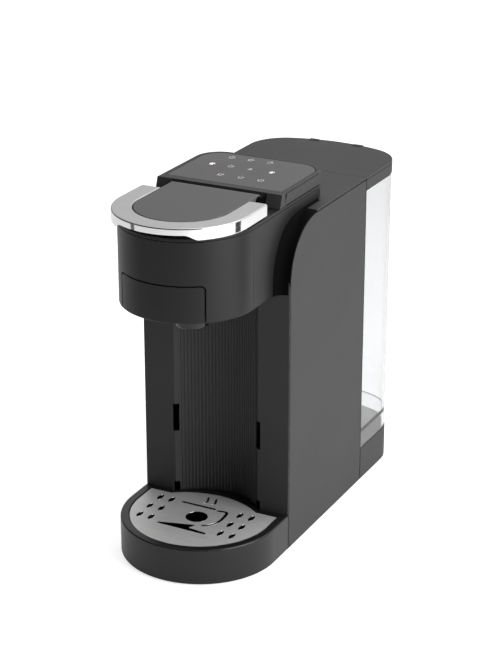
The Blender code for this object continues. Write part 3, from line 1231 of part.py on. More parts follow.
def main():
    """Build the machine."""
    global SHOP
    clear_scene()
    SHOP = Workshop()
    make_front_shroud()
    make_side_panel("left_side_panel", -1)
    make_side_panel("right_side_panel", 1)
    make_base_plate()
    make_tank_bay_wall()
    make_tank_pedestal()
    make_head_shell()
    make_head_bottom()
    make_head_deck()
    make_console()
    make_hinge_pin()
    make_pod_chamber()
    make_tank_seat()
    make_chassis()
    make_pump()
    make_flow_meter()
    make_heater()
    make_boards()
    make_hoses()
    make_cord_gland()
    make_feet_and_screws()

    cover_frame = SHOP.new_frame("spout_cover_pull", (0, HEAD_AXIS_Y, COVER_TOP_Z), SHOP.root)
    make_spout_cover(cover_frame)
    lid_frame = SHOP.new_frame("lid_hinge", (0, 0, HINGE_Z), SHOP.root)
    make_lid_panel(lid_frame)
    make_lid_handle(lid_frame)
    make_lid_inner(lid_frame)
    tank_frame = SHOP.new_frame("tank_lift", (0, VALVE_Y, TANK_Z), SHOP.root)
    make_water_tank(tank_frame)
    make_tank_valve(tank_frame)
    tank_lid_frame = SHOP.new_frame("tank_lid_hinge", (0, KNUCKLE_Y, KNUCKLE_Z), tank_frame)
    make_tank_lid(tank_lid_frame)
    tray_frame = SHOP.new_frame("drip_tray_slide", (0, 0, FLOOR_CLEARANCE), SHOP.root)
    make_drip_tray(tray_frame)
    grate_frame = SHOP.new_frame("drip_grate_lift", (0, TRAY_AXIS_Y, GRATE_Z), tray_frame)
    make_drip_grate(grate_frame)


main()
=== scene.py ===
"""Pod coffee machine: the finished looks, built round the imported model.

Laid out as an add-on: settings, one operator for each piece or group of like pieces, and a
panel that lists them. Metres, +Z up, the front towards -Y.
"""

import json
import math

import bmesh
import bpy
from mathutils import Matrix, Vector


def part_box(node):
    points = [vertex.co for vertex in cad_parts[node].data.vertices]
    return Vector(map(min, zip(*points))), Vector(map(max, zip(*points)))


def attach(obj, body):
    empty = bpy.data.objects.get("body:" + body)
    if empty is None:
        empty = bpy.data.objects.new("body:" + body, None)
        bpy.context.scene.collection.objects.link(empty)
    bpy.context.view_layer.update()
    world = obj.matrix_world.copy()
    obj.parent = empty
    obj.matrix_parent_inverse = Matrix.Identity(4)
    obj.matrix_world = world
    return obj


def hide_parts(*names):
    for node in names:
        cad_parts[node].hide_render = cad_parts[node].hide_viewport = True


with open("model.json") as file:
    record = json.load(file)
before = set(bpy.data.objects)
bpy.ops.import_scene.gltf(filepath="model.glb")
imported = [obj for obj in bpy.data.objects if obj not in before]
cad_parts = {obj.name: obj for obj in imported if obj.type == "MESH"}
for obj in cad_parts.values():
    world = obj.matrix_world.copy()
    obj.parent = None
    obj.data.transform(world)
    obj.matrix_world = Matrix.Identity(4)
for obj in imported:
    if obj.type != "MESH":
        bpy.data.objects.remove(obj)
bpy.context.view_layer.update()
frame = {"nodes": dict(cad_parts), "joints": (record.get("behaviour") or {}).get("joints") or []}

bl_info = {
    "name": "Pod coffee machine",
    "version": (1, 0, 0),
    "blender": (4, 5, 0),
    "location": "3D View > Sidebar > Coffee",
    "description": "Builds the finished pieces of a slim pod coffee machine and its studio",
    "category": "Add Mesh",
}


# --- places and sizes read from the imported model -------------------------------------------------
def low(node):
    """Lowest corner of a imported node."""
    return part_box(node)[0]


def high(node):
    """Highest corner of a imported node."""
    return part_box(node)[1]


def pivot(name):
    """Where a joint's axis lies."""
    return Vector(next(j["pos_m"] for j in frame["joints"] if j["name"] == name))


GAP = 0.0003                                   # between pieces that touch
HALF = high("drip_tray").x
FLOOR_Z = low("drip_tray").z                   # lowest edge of the casing
FACE_Y = pivot("lid_hinge").y                  # front face of the column
BODY_REAR_Y = high("front_shroud").y
REAR_Y = high("tank_pedestal").y
DECK_Z = high("front_shroud").z
TOP_Z = high("touch_panel").z
PANEL_INNER_X = low("right_side_panel").x
HEAD_HALF = high("head_shell").x
HEAD_AXIS_Y = low("spout_cover").y + HEAD_HALF
HEAD_REAR_Y = high("head_shell").y
HEAD_LOW_Z = low("head_shell").z
HEAD_SEAM_Z = high("head_shell").z
RING_Z = low("head_deck").z
CONSOLE_Z = low("console_housing").z
RING_TOP_Z = CONSOLE_Z - GAP
BREW_Y = (low("pod_holder").y + high("pod_holder").y) / 2
BREW = (0.0, BREW_Y)
HINGE = pivot("lid_hinge")
LID_RADIUS = high("lid_panel").x
HANDLE_RADIUS = high("lid_handle").x
HANDLE_AXIS_Y = low("lid_handle").y + HANDLE_RADIUS
HANDLE_END_Y = high("lid_handle").y
HANDLE_Z = low("lid_handle").z
HANDLE_INNER = high("lid_inner_plate").x + GAP
TRAY_AXIS_Y = low("drip_tray").y + HALF
TRAY_TOP_Z = high("drip_tray").z
GRATE_RADIUS = high("drip_grate").x
GRATE_TOP_Z = high("drip_grate").z
GRATE_Z = low("drip_grate").z
TANK_LID_Z = low("tank_lid").z
KNUCKLE = pivot("tank_lid_hinge")
VALVE = ((low("tank_valve").x + high("tank_valve").x) / 2,
         (low("tank_valve").y + high("tank_valve").y) / 2)
PEDESTAL_Z = high("tank_pedestal").z
TANK_Z = low("water_tank").z
TANK_TOP_Z = TANK_LID_Z - GAP
TANK_FRONT_Y = low("tank_pedestal").y

# --- sizes of the design that a box does not give ------------------------------------------------
SKIN = 0.0016
ARCH_RADIUS = 0.0475
RECESS_RADIUS = 0.050
RECESS_HALF = 0.0375
RECESS_WALL = 0.002
SLOT_INNER_X = 0.0348
SLOT_WIDTH = 0.005
SLOT_HEIGHT = 0.024
SLOT_ROWS = (0.0145, 0.084)
HEAD_WALL = 0.0022
HEAD_CORNER = 0.021
HEAD_OPENING_REAR = 0.044
COVER_CORNER = 0.0036
TOUCH_CORNER = 0.018
TANK_WALL = 0.002
TANK_INSET = 0.0005
TANK_FLOOR_Z = 0.047
TANK_UNDER_Z = 0.0445
TANK_BOW = 0.130
TANK_CORNER = 0.035
KNUCKLE_X = 0.0205
KNUCKLE_HALF = 0.004
KNUCKLE_RADIUS = 0.0036
GRATE_REAR = 0.005
GRATE_BULGE_HALF = 0.039
GRATE_BULGE = 0.013
GRATE_HOLE_RADIUS = 0.0088
GRATE_HOLE_Y = -0.0333
LEAF_LENGTH = 0.0095
LEAF_WIDTH = 0.0037
LEAF_COLUMNS = (-0.0430, -0.0326, 0.0300, 0.0403)
LEAF_ROWS = (-0.0160, -0.0330, -0.0495)
NECK_RADIUS = 0.008
POD_RADIUS = 0.0265
LID_PIN_BORE = 0.0014
RUNNING = 0.0005           # between pieces that slide
SHY = 0.0002               # how far a face stays behind its neighbour's

RECESS_Y = FACE_Y - math.sqrt(RECESS_RADIUS ** 2 - RECESS_HALF ** 2)
ARCH_Z = DECK_Z - ARCH_RADIUS
ARCH_Y = FACE_Y + ARCH_RADIUS
EDGE_STEPS = 4             # rings across a rounded edge
CORNER_STEPS = 6           # sides of a rounded corner
SHARP_ANGLE = 32           # degrees between faces that show an edge
PAST = 0.002               # how far a cutter runs past what it cuts
THIN_FACE = 0.00035        # area over perimeter of the faces on a rounded edge
FINE = 0.00001             # points closer than this are one


# --- settings ------------------------------------------------------------------------------------
def colour_setting(name, description, colour):
    """A colour that a user may change."""
    return bpy.props.FloatVectorProperty(name=name, description=description, default=colour,
                                         size=3, min=0.0, max=1.0, subtype="COLOR")


def length_setting(name, description, size):
    """A length that a user may change."""
    return bpy.props.FloatProperty(name=name, description=description, default=size, min=0.0,
                                   precision=5, subtype="DISTANCE", unit="LENGTH")


def number_setting(name, description, value):
    """A plain number that a user may change."""
    return bpy.props.FloatProperty(name=name, description=description, default=value, min=0.0)


class MachineFinish(bpy.types.PropertyGroup):
    """Colours and textures of the machine's finishes."""

    casing: colour_setting("Casing", "Matt grey mouldings", (0.050, 0.050, 0.051))
    dark: colour_setting("Dark casing", "Satin black mouldings", (0.012, 0.012, 0.0125))
    touch: colour_setting("Touch panel", "Smooth panel over the touch board", (0.060, 0.060, 0.062))
    icon: colour_setting("Icons", "Lit pictograms on the touch panel", (0.95, 0.86, 0.86))
    grain: length_setting("Grain", "Size of the grain on matt mouldings", 0.00045)
    icon_glow: number_setting("Icon glow", "Brightness of the pictograms", 1.3)


class MachineDetail(bpy.types.PropertyGroup):
    """Sizes of the fine details."""

    edge: length_setting("Edge", "Rounding of moulded edges", 0.0006)
    rib_width: length_setting("Rib width", "Width of a rib in the hollow", 0.0019)
    rib_depth: length_setting("Rib depth", "How far a rib stands out", 0.0007)
    rib_pitch: length_setting("Rib pitch", "Distance between ribs", 0.0028)
    fillet: length_setting("Head fillet", "Round between the head's sides and the arch", 0.0098)
    groove: length_setting("Groove", "Depth of the shadow line round the tank lid", 0.0005)
    seam: length_setting("Seam", "Visible width of the gap round the front cover", 0.0011)


class StudioSettings(bpy.types.PropertyGroup):
    """The camera and the lights."""

    lens: bpy.props.FloatProperty(name="Lens", description="Focal length", default=102.15,
                                  min=1.0, subtype="DISTANCE_CAMERA", unit="CAMERA")
    azimuth: bpy.props.FloatProperty(name="Azimuth", description="Camera turned to the right",
                                     default=math.radians(27.12), subtype="ANGLE", unit="ROTATION")
    elevation: bpy.props.FloatProperty(name="Elevation", description="Camera above the horizon",
                                       default=math.radians(21.82), subtype="ANGLE",
                                       unit="ROTATION")
    right_light: number_setting("Right light", "Power of the soft light at the right", 13.0)
    top_light: number_setting("Top light", "Power of the soft light overhead", 6.0)
    room_front: number_setting("Room front", "Brightness of the room at the camera's side", 0.05)
    room_rear: number_setting("Room rear", "Brightness of the room behind the machine", 0.9)


# --- outlines, as lists of flat points that run anticlockwise ------------------------------------
def arc(centre_a, centre_b, radius, start, end, steps):
    """Points on an arc, with its angles in degrees."""
    points = []
    for step in range(steps + 1):
        angle = math.radians(start + (end - start) * step / steps)
        points.append(Vector((centre_a + radius * math.cos(angle),
                              centre_b + radius * math.sin(angle))))
    return points


def circle(centre, radius, steps=48):
    """A full circle without its repeated last point."""
    return arc(centre[0], centre[1], radius, 0, 360, steps)[:-1]


def rectangle(low_a, high_a, low_b, high_b, corner=0.0):
    """A rectangle, with round corners if a radius is given."""
    if corner == 0.0:
        return [Vector(p) for p in ((low_a, low_b), (high_a, low_b), (high_a, high_b),
                                    (low_a, high_b))]
    near_a, far_a, near_b, far_b = low_a + corner, high_a - corner, low_b + corner, high_b - corner
    points = []
    for a, b, start in ((far_a, near_b, 270), (far_a, far_b, 0), (near_a, far_b, 90),
                        (near_a, near_b, 180)):
        points += arc(a, b, corner, start, start + 90, CORNER_STEPS)
    return points


def span(sign, near, far):
    """A stretch of X on the left or the right side, lower end first."""
    return sorted((sign * near, sign * far))


def inset(outline, distance):
    """The outline moved inwards by a distance, point for point."""
    if distance == 0.0:
        return outline
    moved = []
    count = len(outline)
    for i, here in enumerate(outline):
        before = (here - outline[i - 1]).normalized()
        after = (outline[(i + 1) % count] - here).normalized()
        turn_in = Vector((-before.y, before.x)) + Vector((-after.y, after.x))
        moved.append(here + turn_in * (distance / (1 + before.dot(after))))
    return moved


def side_outline(depth, rear_y, low_z):
    """The body from the side, in Y and Z, a depth below its surface: face, arch and deck."""
    radius = ARCH_RADIUS - depth
    sweep = arc(ARCH_Y, ARCH_Z, radius, 90, 180, 28)
    foot = [Vector((FACE_Y + depth, low_z)), Vector((rear_y, low_z)),
            Vector((rear_y, DECK_Z - depth))]
    return foot + sweep


def tank_outline(front_y):
    """The tank, its lid and the pedestal from above: straight sides and a bowed rear."""
    bow_y = REAR_Y - TANK_BOW
    corner_x = HALF - TANK_CORNER
    reach = TANK_BOW - TANK_CORNER
    corner_y = bow_y + math.sqrt(reach ** 2 - corner_x ** 2)
    meet = math.degrees(math.acos(corner_x / reach))
    right = arc(corner_x, corner_y, TANK_CORNER, 0, meet, 20)
    rear = arc(0, bow_y, TANK_BOW, meet, 180 - meet, 28)
    left = arc(-corner_x, corner_y, TANK_CORNER, 180 - meet, 180, 20)
    return [Vector((-HALF, front_y)), Vector((HALF, front_y))] + right + rear[1:-1] + left


def head_outline():
    """The head and the console from above: round front, rounded rear corners."""
    corner_x = HEAD_HALF - HEAD_CORNER
    corner_y = HEAD_REAR_Y - HEAD_CORNER
    front = arc(0, HEAD_AXIS_Y, HEAD_HALF, 180, 360, 96)
    right = arc(corner_x, corner_y, HEAD_CORNER, 0, 90, 20)
    left = arc(-corner_x, corner_y, HEAD_CORNER, 90, 180, 20)
    return front + right + left


def d_outline(half, axis_y, rear_y, steps=80):
    """A D from above: round at the front and straight across the rear."""
    return arc(0, axis_y, half, 180, 360, steps) + [Vector((half, rear_y)), Vector((-half, rear_y))]


def bulged_outline(half, axis_y, rear_y, bulge_y, bulge_radius):
    """A D whose straight rear bulges back in the middle."""
    meet = math.degrees(math.asin((rear_y - bulge_y) / bulge_radius))
    front = arc(0, axis_y, half, 180, 360, 96)
    bulge = arc(0, bulge_y, bulge_radius, meet, 180 - meet, 40)
    return front + [Vector((half, rear_y))] + bulge + [Vector((-half, rear_y))]


def grate_outline():
    """The grate from above."""
    radius = (GRATE_BULGE_HALF ** 2 + GRATE_BULGE ** 2) / (2 * GRATE_BULGE)
    rear_y = FACE_Y - GRATE_REAR
    return bulged_outline(GRATE_RADIUS, TRAY_AXIS_Y, rear_y, rear_y + GRATE_BULGE - radius, radius)


# --- meshes --------------------------------------------------------------------------------------
TURNED = {
    "X": lambda a, b, along: Vector((along, a, b)),
    "Y": lambda a, b, along: Vector((a, along, b)),
    "Z": lambda a, b, along: Vector((a, b, along)),
}


def placed(name, data):
    """A new object in the scene."""
    made = bpy.data.objects.new(name, data)
    bpy.context.scene.collection.objects.link(made)
    return made


def new_piece(name, work):
    """An object at the origin from a filled bmesh, with its faces turned outwards."""
    bmesh.ops.remove_doubles(work, verts=work.verts, dist=FINE / 10)
    bmesh.ops.recalc_face_normals(work, faces=work.faces)
    mesh = bpy.data.meshes.new(name)
    work.to_mesh(mesh)
    work.free()
    return placed(name, mesh)


def skin(name, rings, loop=False):
    """A closed skin over rings that have as many points each; a loop joins last to first."""
    work = bmesh.new()
    rows = [[work.verts.new(point) for point in ring] for ring in rings]
    pairs = list(zip(rows, rows[1:]))
    if loop:
        pairs.append((rows[-1], rows[0]))
    else:
        work.faces.new(rows[0])
        work.faces.new(rows[-1])
    for lower, upper in pairs:
        for i in range(len(lower)):
            work.faces.new((lower[i - 1], lower[i], upper[i], upper[i - 1]))
    return new_piece(name, work)


def edge_rows(start, end, start_round=0.0, end_round=0.0):
    """(inset, place) pairs up the side of a block, round at either end."""
    rows = []
    for step in range(EDGE_STEPS + 1 if start_round else 1):
        angle = math.pi / 2 * step / EDGE_STEPS
        rows.append((start_round * (1 - math.sin(angle)),
                     start + start_round * (1 - math.cos(angle))))
    for step in range(EDGE_STEPS + 1 if end_round else 1):
        angle = math.pi / 2 * step / EDGE_STEPS
        rows.append((end_round * (1 - math.cos(angle)), end - end_round * (1 - math.sin(angle))))
    return rows


def block(name, outline, rows, axis="Z", loop=False):
    """An outline drawn along an axis, inset row by row."""
    turn = TURNED[axis]
    rings = [[turn(p.x, p.y, along) for p in inset(outline, depth)] for depth, along in rows]
    return skin(name, rings, loop)


def prism(name, outline, start, end, axis="Z"):
    """An outline drawn straight along an axis."""
    return block(name, outline, [(0, start), (0, end)], axis)


def rounded_box(name, start, end, edge=0.0004):
    """A box between two corners with its edges rounded."""
    outline = rectangle(start[0], end[0], start[1], end[1], edge * 1.5)
    return block(name, outline, edge_rows(start[2], end[2], edge, edge))


def turned(name, profile, centre, steps=64):
    """A turned piece: closed (radius, height) profile round an upright axis."""
    work = bmesh.new()
    rows = []
    for step in range(steps):
        angle = 2 * math.pi * step / steps
        rows.append([work.verts.new((centre[0] + r * math.cos(angle),
                                     centre[1] + r * math.sin(angle), z)) for r, z in profile])
    for i in range(steps):
        here, there = rows[i - 1], rows[i]
        for j in range(len(profile)):
            if profile[j - 1][0] > 0 or profile[j][0] > 0:
                work.faces.new((here[j - 1], here[j], there[j], there[j - 1]))
    bmesh.ops.remove_doubles(work, verts=work.verts, dist=FINE / 10)
    bmesh.ops.dissolve_degenerate(work, edges=work.edges, dist=FINE / 10)
    return new_piece(name, work)


def rod(name, centre, radius, start, end, axis="Z", steps=32, edge=0.0):
    """A round bar along an axis."""
    return block(name, circle(centre, radius, steps), edge_rows(start, end, edge, edge), axis)


def baked(piece):
    """The piece with its modifiers turned into plain mesh."""
    depsgraph = bpy.context.evaluated_depsgraph_get()
    mesh = bpy.data.meshes.new_from_object(piece.evaluated_get(depsgraph))
    piece.modifiers.clear()
    piece.data = mesh
    mesh.name = piece.name
    return piece


def boolean(piece, tools, operation):
    """Cut, join or keep what is common with each tool; the tools are used up."""
    for tool in tools:
        modifier = piece.modifiers.new(tool.name, "BOOLEAN")
        modifier.operation = operation
        modifier.object = tool
    baked(piece)
    for tool in tools:
        bpy.data.objects.remove(tool)
    return piece


def carve(piece, *tools):
    """Cut each tool out of the piece."""
    return boolean(piece, tools, "DIFFERENCE")


def weld(piece, *tools):
    """Make the piece and each tool one solid."""
    return boolean(piece, tools, "UNION")


def mark_edges(mesh):
    """Store how strongly each point lies on a rounded edge, for the wear on it."""
    work = bmesh.new()
    work.from_mesh(mesh)
    work.normal_update()
    worn = []
    for vertex in work.verts:
        thin = all(face.calc_area() < THIN_FACE * face.calc_perimeter()
                   for face in vertex.link_faces)
        bend = max((edge.calc_face_angle(0.0) for edge in vertex.link_edges), default=0.0)
        worn.append(min(1.0, bend / math.radians(25)) if thin else 0.0)
    work.free()
    layer = mesh.attributes.new("edge_wear", "FLOAT", "POINT")
    layer.data.foreach_set("value", worn)


def dress(piece, names, pick):
    """Give the piece several finishes; pick says which of them a face takes."""
    for name in names:
        piece.data.materials.append(MATERIALS[name])
    for face in piece.data.polygons:
        face.material_index = pick(face)


def settle(piece, body, finish, stands_for=()):
    """Give a piece its shading, finish and CAD body, and hide the nodes it stands for."""
    mesh = piece.data
    mesh.shade_smooth()
    mesh.set_sharp_from_angle(angle=math.radians(SHARP_ANGLE))
    mark_edges(mesh)
    if finish:
        mesh.materials.append(MATERIALS[finish])
    normals = piece.modifiers.new("even_normals", "WEIGHTED_NORMAL")
    normals.keep_sharp = True
    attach(piece, body)
    if stands_for:
        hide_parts(*stands_for)


# --- shader groups, built once and placed in the materials ---------------------------------------
SOCKETS = {type(None): "NodeSocketVector", tuple: "NodeSocketColor", float: "NodeSocketFloat"}
DUST_COLOUR = (0.30, 0.30, 0.29, 1.0)


def set_inputs(tree, node, inputs):
    """Give each named input its value, or a link if the value is a socket."""
    for key, value in inputs.items():
        if isinstance(value, bpy.types.NodeSocket):
            tree.links.new(value, node.inputs[key])
        else:
            node.inputs[key].default_value = value
    return node


def add_node(tree, kind, inputs=None, **settings):
    """Add a node, set its properties, and set or link its inputs."""
    made = tree.nodes.new(kind)
    for key, value in settings.items():
        setattr(made, key, value)
    return set_inputs(tree, made, inputs or {})


def maths(tree, operation, *values):
    """The result of a Math node."""
    return add_node(tree, "ShaderNodeMath", dict(enumerate(values)), operation=operation).outputs[0]


def remap(tree, value, from_low, from_high, to_low, to_high):
    """A value moved from one range to another."""
    made = add_node(tree, "ShaderNodeMapRange", {0: value, 1: from_low, 2: from_high, 3: to_low,
                                                 4: to_high})
    return made.outputs[0]


def spread(tree, value, to_low, to_high):
    """A noise value stretched from where it mostly lies to a new range."""
    return remap(tree, value, 0.3, 0.7, to_low, to_high)


def noise(tree, place, scale, detail=2.0, **inputs):
    """The value of a Noise Texture."""
    given = {"Vector": place, "Scale": scale, "Detail": detail}
    given.update({label.title(): value for label, value in inputs.items()})
    return add_node(tree, "ShaderNodeTexNoise", given).outputs[0]


def scaled(tree, colour, factor):
    """A colour made darker or lighter by a factor that changes over the surface."""
    made = add_node(tree, "ShaderNodeVectorMath", {0: colour, "Scale": factor}, operation="SCALE")
    return made.outputs[0]


def new_group(name, inputs, outputs):
    """A shader node group; its inputs map names to defaults, and a place has no default."""
    tree = bpy.data.node_groups.new(name, "ShaderNodeTree")
    for label, default in inputs.items():
        kind = SOCKETS[type(default)]
        socket = tree.interface.new_socket(label, in_out="INPUT", socket_type=kind)
        if default is not None:
            socket.default_value = default
    for label in outputs:
        kind = SOCKETS[tuple if label == "Colour" else float]
        tree.interface.new_socket(label, in_out="OUTPUT", socket_type=kind)
    return tree, tree.nodes.new("NodeGroupInput").outputs, tree.nodes.new("NodeGroupOutput").inputs


def put_out(tree, out, results):
    """Link each named result to the group's output."""
    for label, socket in results.items():
        tree.links.new(socket, out[label])


def moulding_group():
    """Spark-eroded grain, faint flow marks and sparse dust of a moulded plastic."""
    tree, given, out = new_group("moulded_surface", {
        "Vector": None, "Colour": (0.1, 0.1, 0.1, 1.0), "Roughness": 0.5, "Grain Scale": 2200.0,
        "Mottle": 0.05, "Dust": 0.15}, ("Colour", "Roughness", "Height"))
    place = given["Vector"]
    grain = noise(tree, place, given["Grain Scale"])
    pits = add_node(tree, "ShaderNodeTexVoronoi", {"Vector": place, "Scale": given["Grain Scale"]})
    flow = noise(tree, place, 14.0, 4.0, roughness=0.6)
    specks = add_node(tree, "ShaderNodeTexVoronoi", {"Vector": place, "Scale": 420.0})
    patches = noise(tree, place, 45.0)
    speck = maths(tree, "MULTIPLY", remap(tree, specks.outputs["Distance"], 0.05, 0.09, 1.0, 0.0),
                  remap(tree, patches, 0.56, 0.66, 0.0, 1.0))
    dust = maths(tree, "MULTIPLY", speck, given["Dust"])
    low_tone = maths(tree, "SUBTRACT", 1.0, given["Mottle"])
    high_tone = maths(tree, "ADD", 1.0, given["Mottle"])
    tone = spread(tree, flow, low_tone, high_tone)
    fine_tone = spread(tree, grain, 0.94, 1.06)
    base = scaled(tree, given["Colour"], maths(tree, "MULTIPLY", tone, fine_tone))
    mixed = add_node(tree, "ShaderNodeMix", {0: dust, 6: base, 7: DUST_COLOUR}, data_type="RGBA")
    rough = maths(tree, "ADD", given["Roughness"], spread(tree, flow, -0.04, 0.05))
    put_out(tree, out, {
        "Colour": mixed.outputs[2],
        "Roughness": maths(tree, "ADD", rough, maths(tree, "MULTIPLY", dust, 0.6)),
        "Height": maths(tree, "ADD", grain, maths(tree, "MULTIPLY", pits.outputs[0], 0.5))})


def wear_group():
    """Edges rubbed smoother and paler, broken up along their length."""
    tree, given, out = new_group("edge_rub", {"Vector": None, "Edge": 0.0, "Strength": 0.4},
                                 ("Mask",))
    breaks = remap(tree, noise(tree, given["Vector"], 160.0, 3.0), 0.4, 0.62, 0.25, 1.0)
    share = maths(tree, "MULTIPLY", given["Edge"], breaks)
    put_out(tree, out, {"Mask": maths(tree, "MULTIPLY", share, given["Strength"])})


def brushing_group():
    """Fine streaks of a brushed metal, which run along one direction."""
    tree, given, out = new_group("brushed_streaks", {
        "Vector": None, "Colour": (0.6, 0.6, 0.6, 1.0), "Roughness": 0.3, "Depth": 0.5},
        ("Colour", "Roughness", "Height"))
    streaks = noise(tree, given["Vector"], 1.0, 4.0, roughness=0.65)
    clouds = noise(tree, given["Vector"], 0.05)
    tone = maths(tree, "ADD", spread(tree, streaks, -0.10, 0.08),
                 spread(tree, clouds, 0.97, 1.03))
    rough = spread(tree, streaks, -0.07, 0.09)
    put_out(tree, out, {"Colour": scaled(tree, given["Colour"], tone),
                        "Roughness": maths(tree, "ADD", given["Roughness"], rough),
                        "Height": maths(tree, "MULTIPLY", streaks, given["Depth"])})


def handling_group():
    """Wipe marks and faint finger smears on a smooth surface."""
    tree, given, out = new_group("handling_marks", {"Vector": None, "Roughness": 0.1,
                                                    "Smear": 0.06}, ("Roughness", "Height"))
    wide = remap(tree, noise(tree, given["Vector"], 30.0, 5.0, distortion=1.2), 0.42, 0.7, 0.0, 1.0)
    smear = maths(tree, "MULTIPLY", wide, given["Smear"])
    put_out(tree, out, {"Roughness": maths(tree, "ADD", given["Roughness"], smear),
                        "Height": noise(tree, given["Vector"], 900.0)})


def use_group(tree, name, inputs):
    """Place a shader group in a material."""
    made = add_node(tree, "ShaderNodeGroup", node_tree=bpy.data.node_groups[name])
    return set_inputs(tree, made, inputs).outputs


# --- materials -----------------------------------------------------------------------------------
FIXED_INPUTS = {"ior": "IOR", "specular_ior_level": "Specular IOR Level"}


def new_material(name, **fixed):
    """A material with one Principled shader and object coordinates to drive it."""
    made = bpy.data.materials.new(name)
    made.use_nodes = True
    tree = made.node_tree
    shader = tree.nodes["Principled BSDF"]
    for key, value in fixed.items():
        shader.inputs[FIXED_INPUTS.get(key, key.replace("_", " ").title())].default_value = value
    place = tree.nodes.new("ShaderNodeTexCoord").outputs["Object"]
    return made, tree, shader, place


def bump(tree, shader, height, distance, strength=0.6):
    """Feed a height to the shader as a bump."""
    made = add_node(tree, "ShaderNodeBump", {"Height": height, "Distance": distance,
                                             "Strength": strength})
    tree.links.new(made.outputs[0], shader.inputs["Normal"])


def plastic(name, colour, roughness, grain=0.00045, depth=0.00003, mottle=0.05, dust=0.12,
            rub=0.30, gloss=0.22, **fixed):
    """A moulded plastic with grain, flow marks, dust and rubbed edges."""
    made, tree, shader, place = new_material(name, specular_ior_level=gloss, **fixed)
    surface = use_group(tree, "moulded_surface", {
        "Vector": place, "Colour": (*colour, 1.0), "Roughness": roughness,
        "Grain Scale": 1.0 / grain, "Mottle": mottle, "Dust": dust})
    edge = add_node(tree, "ShaderNodeAttribute", attribute_name="edge_wear").outputs["Fac"]
    worn = use_group(tree, "edge_rub", {"Vector": place, "Edge": edge, "Strength": rub})["Mask"]
    paler = maths(tree, "ADD", 1.0, maths(tree, "MULTIPLY", worn, 1.6))
    smooth = maths(tree, "SUBTRACT", surface["Roughness"], maths(tree, "MULTIPLY", worn, 0.35))
    tree.links.new(scaled(tree, surface["Colour"], paler), shader.inputs["Base Color"])
    tree.links.new(smooth, shader.inputs["Roughness"])
    bump(tree, shader, surface["Height"], depth)
    return made


def brushed_metal(name, colour, roughness, stretch, depth=0.00002, metallic=1.0):
    """A brushed metal; stretch says how fine the streaks are along X, Y and Z."""
    made, tree, shader, place = new_material(name, metallic=metallic)
    fine = add_node(tree, "ShaderNodeMapping", {"Vector": place, "Scale": stretch})
    streaks = use_group(tree, "brushed_streaks", {"Vector": fine.outputs[0],
                                                  "Colour": (*colour, 1.0),
                                                  "Roughness": roughness})
    tree.links.new(streaks["Colour"], shader.inputs["Base Color"])
    tree.links.new(streaks["Roughness"], shader.inputs["Roughness"])
    bump(tree, shader, streaks["Height"], depth, 0.35)
    return made


def polished_metal(name, colour, roughness, smear):
    """A bright plated metal with wipe marks."""
    made, tree, shader, place = new_material(name, metallic=1.0)
    tone = spread(tree, noise(tree, place, 60.0, 3.0), 0.97, 1.0)
    marks = use_group(tree, "handling_marks", {"Vector": place, "Roughness": roughness,
                                               "Smear": smear})
    tree.links.new(scaled(tree, colour, tone), shader.inputs["Base Color"])
    tree.links.new(marks["Roughness"], shader.inputs["Roughness"])
    bump(tree, shader, marks["Height"], 0.000003, 0.15)
    return made


def clear_plastic():
    """Clear moulded plastic of the tank, with faint swirls, wipe marks and painted shade at its
    edges.
    """
    made, tree, shader, place = new_material("tank_clear", transmission_weight=1.0, ior=1.46,
                                             metallic=0.0)
    swirl = noise(tree, place, 18.0, 3.0, distortion=0.8)
    marks = use_group(tree, "handling_marks", {"Vector": place, "Roughness": 0.02, "Smear": 0.04})
    # the tint darkens to 0.55 where the wall turns edge-on to the camera: painted shade along the
    # tank's edges
    facing = add_node(tree, "ShaderNodeLayerWeight", {"Blend": 0.4}).outputs["Facing"]
    tone = maths(tree, "MULTIPLY", spread(tree, swirl, 0.985, 1.0),
                 remap(tree, facing, 0.45, 1.0, 1.0, 0.55))
    tree.links.new(scaled(tree, (0.985, 0.99, 0.995), tone), shader.inputs["Base Color"])
    tree.links.new(marks["Roughness"], shader.inputs["Roughness"])
    bump(tree, shader, swirl, 0.00004, 0.25)
    return made


def icon_light(colour, glow):
    """Lit print of the touch pictograms, uneven like the light behind it."""
    made, tree, shader, place = new_material("icon_print", roughness=0.35, emission_strength=glow)
    spots = remap(tree, noise(tree, place, 90.0, 1.0), 0.35, 0.65, 0.45, 1.0)
    uneven = scaled(tree, tuple(colour), spots)
    tree.links.new(uneven, shader.inputs["Base Color"])
    tree.links.new(uneven, shader.inputs["Emission Color"])
    return made


def board_green():
    """Solder resist with faint tracks."""
    made, tree, shader, place = new_material("board_green", roughness=0.4)
    tracks = add_node(tree, "ShaderNodeTexBrick", {
        "Vector": place, "Color1": (0.010, 0.085, 0.030, 1.0), "Color2": (0.012, 0.100, 0.036, 1.0),
        "Mortar": (0.04, 0.17, 0.06, 1.0), "Scale": 120.0, "Mortar Size": 0.04})
    rough = spread(tree, noise(tree, place, 700.0), 0.30, 0.48)
    tree.links.new(tracks.outputs["Color"], shader.inputs["Base Color"])
    tree.links.new(rough, shader.inputs["Roughness"])
    bump(tree, shader, tracks.outputs["Fac"], 0.00004)
    return made


MATERIALS = {}


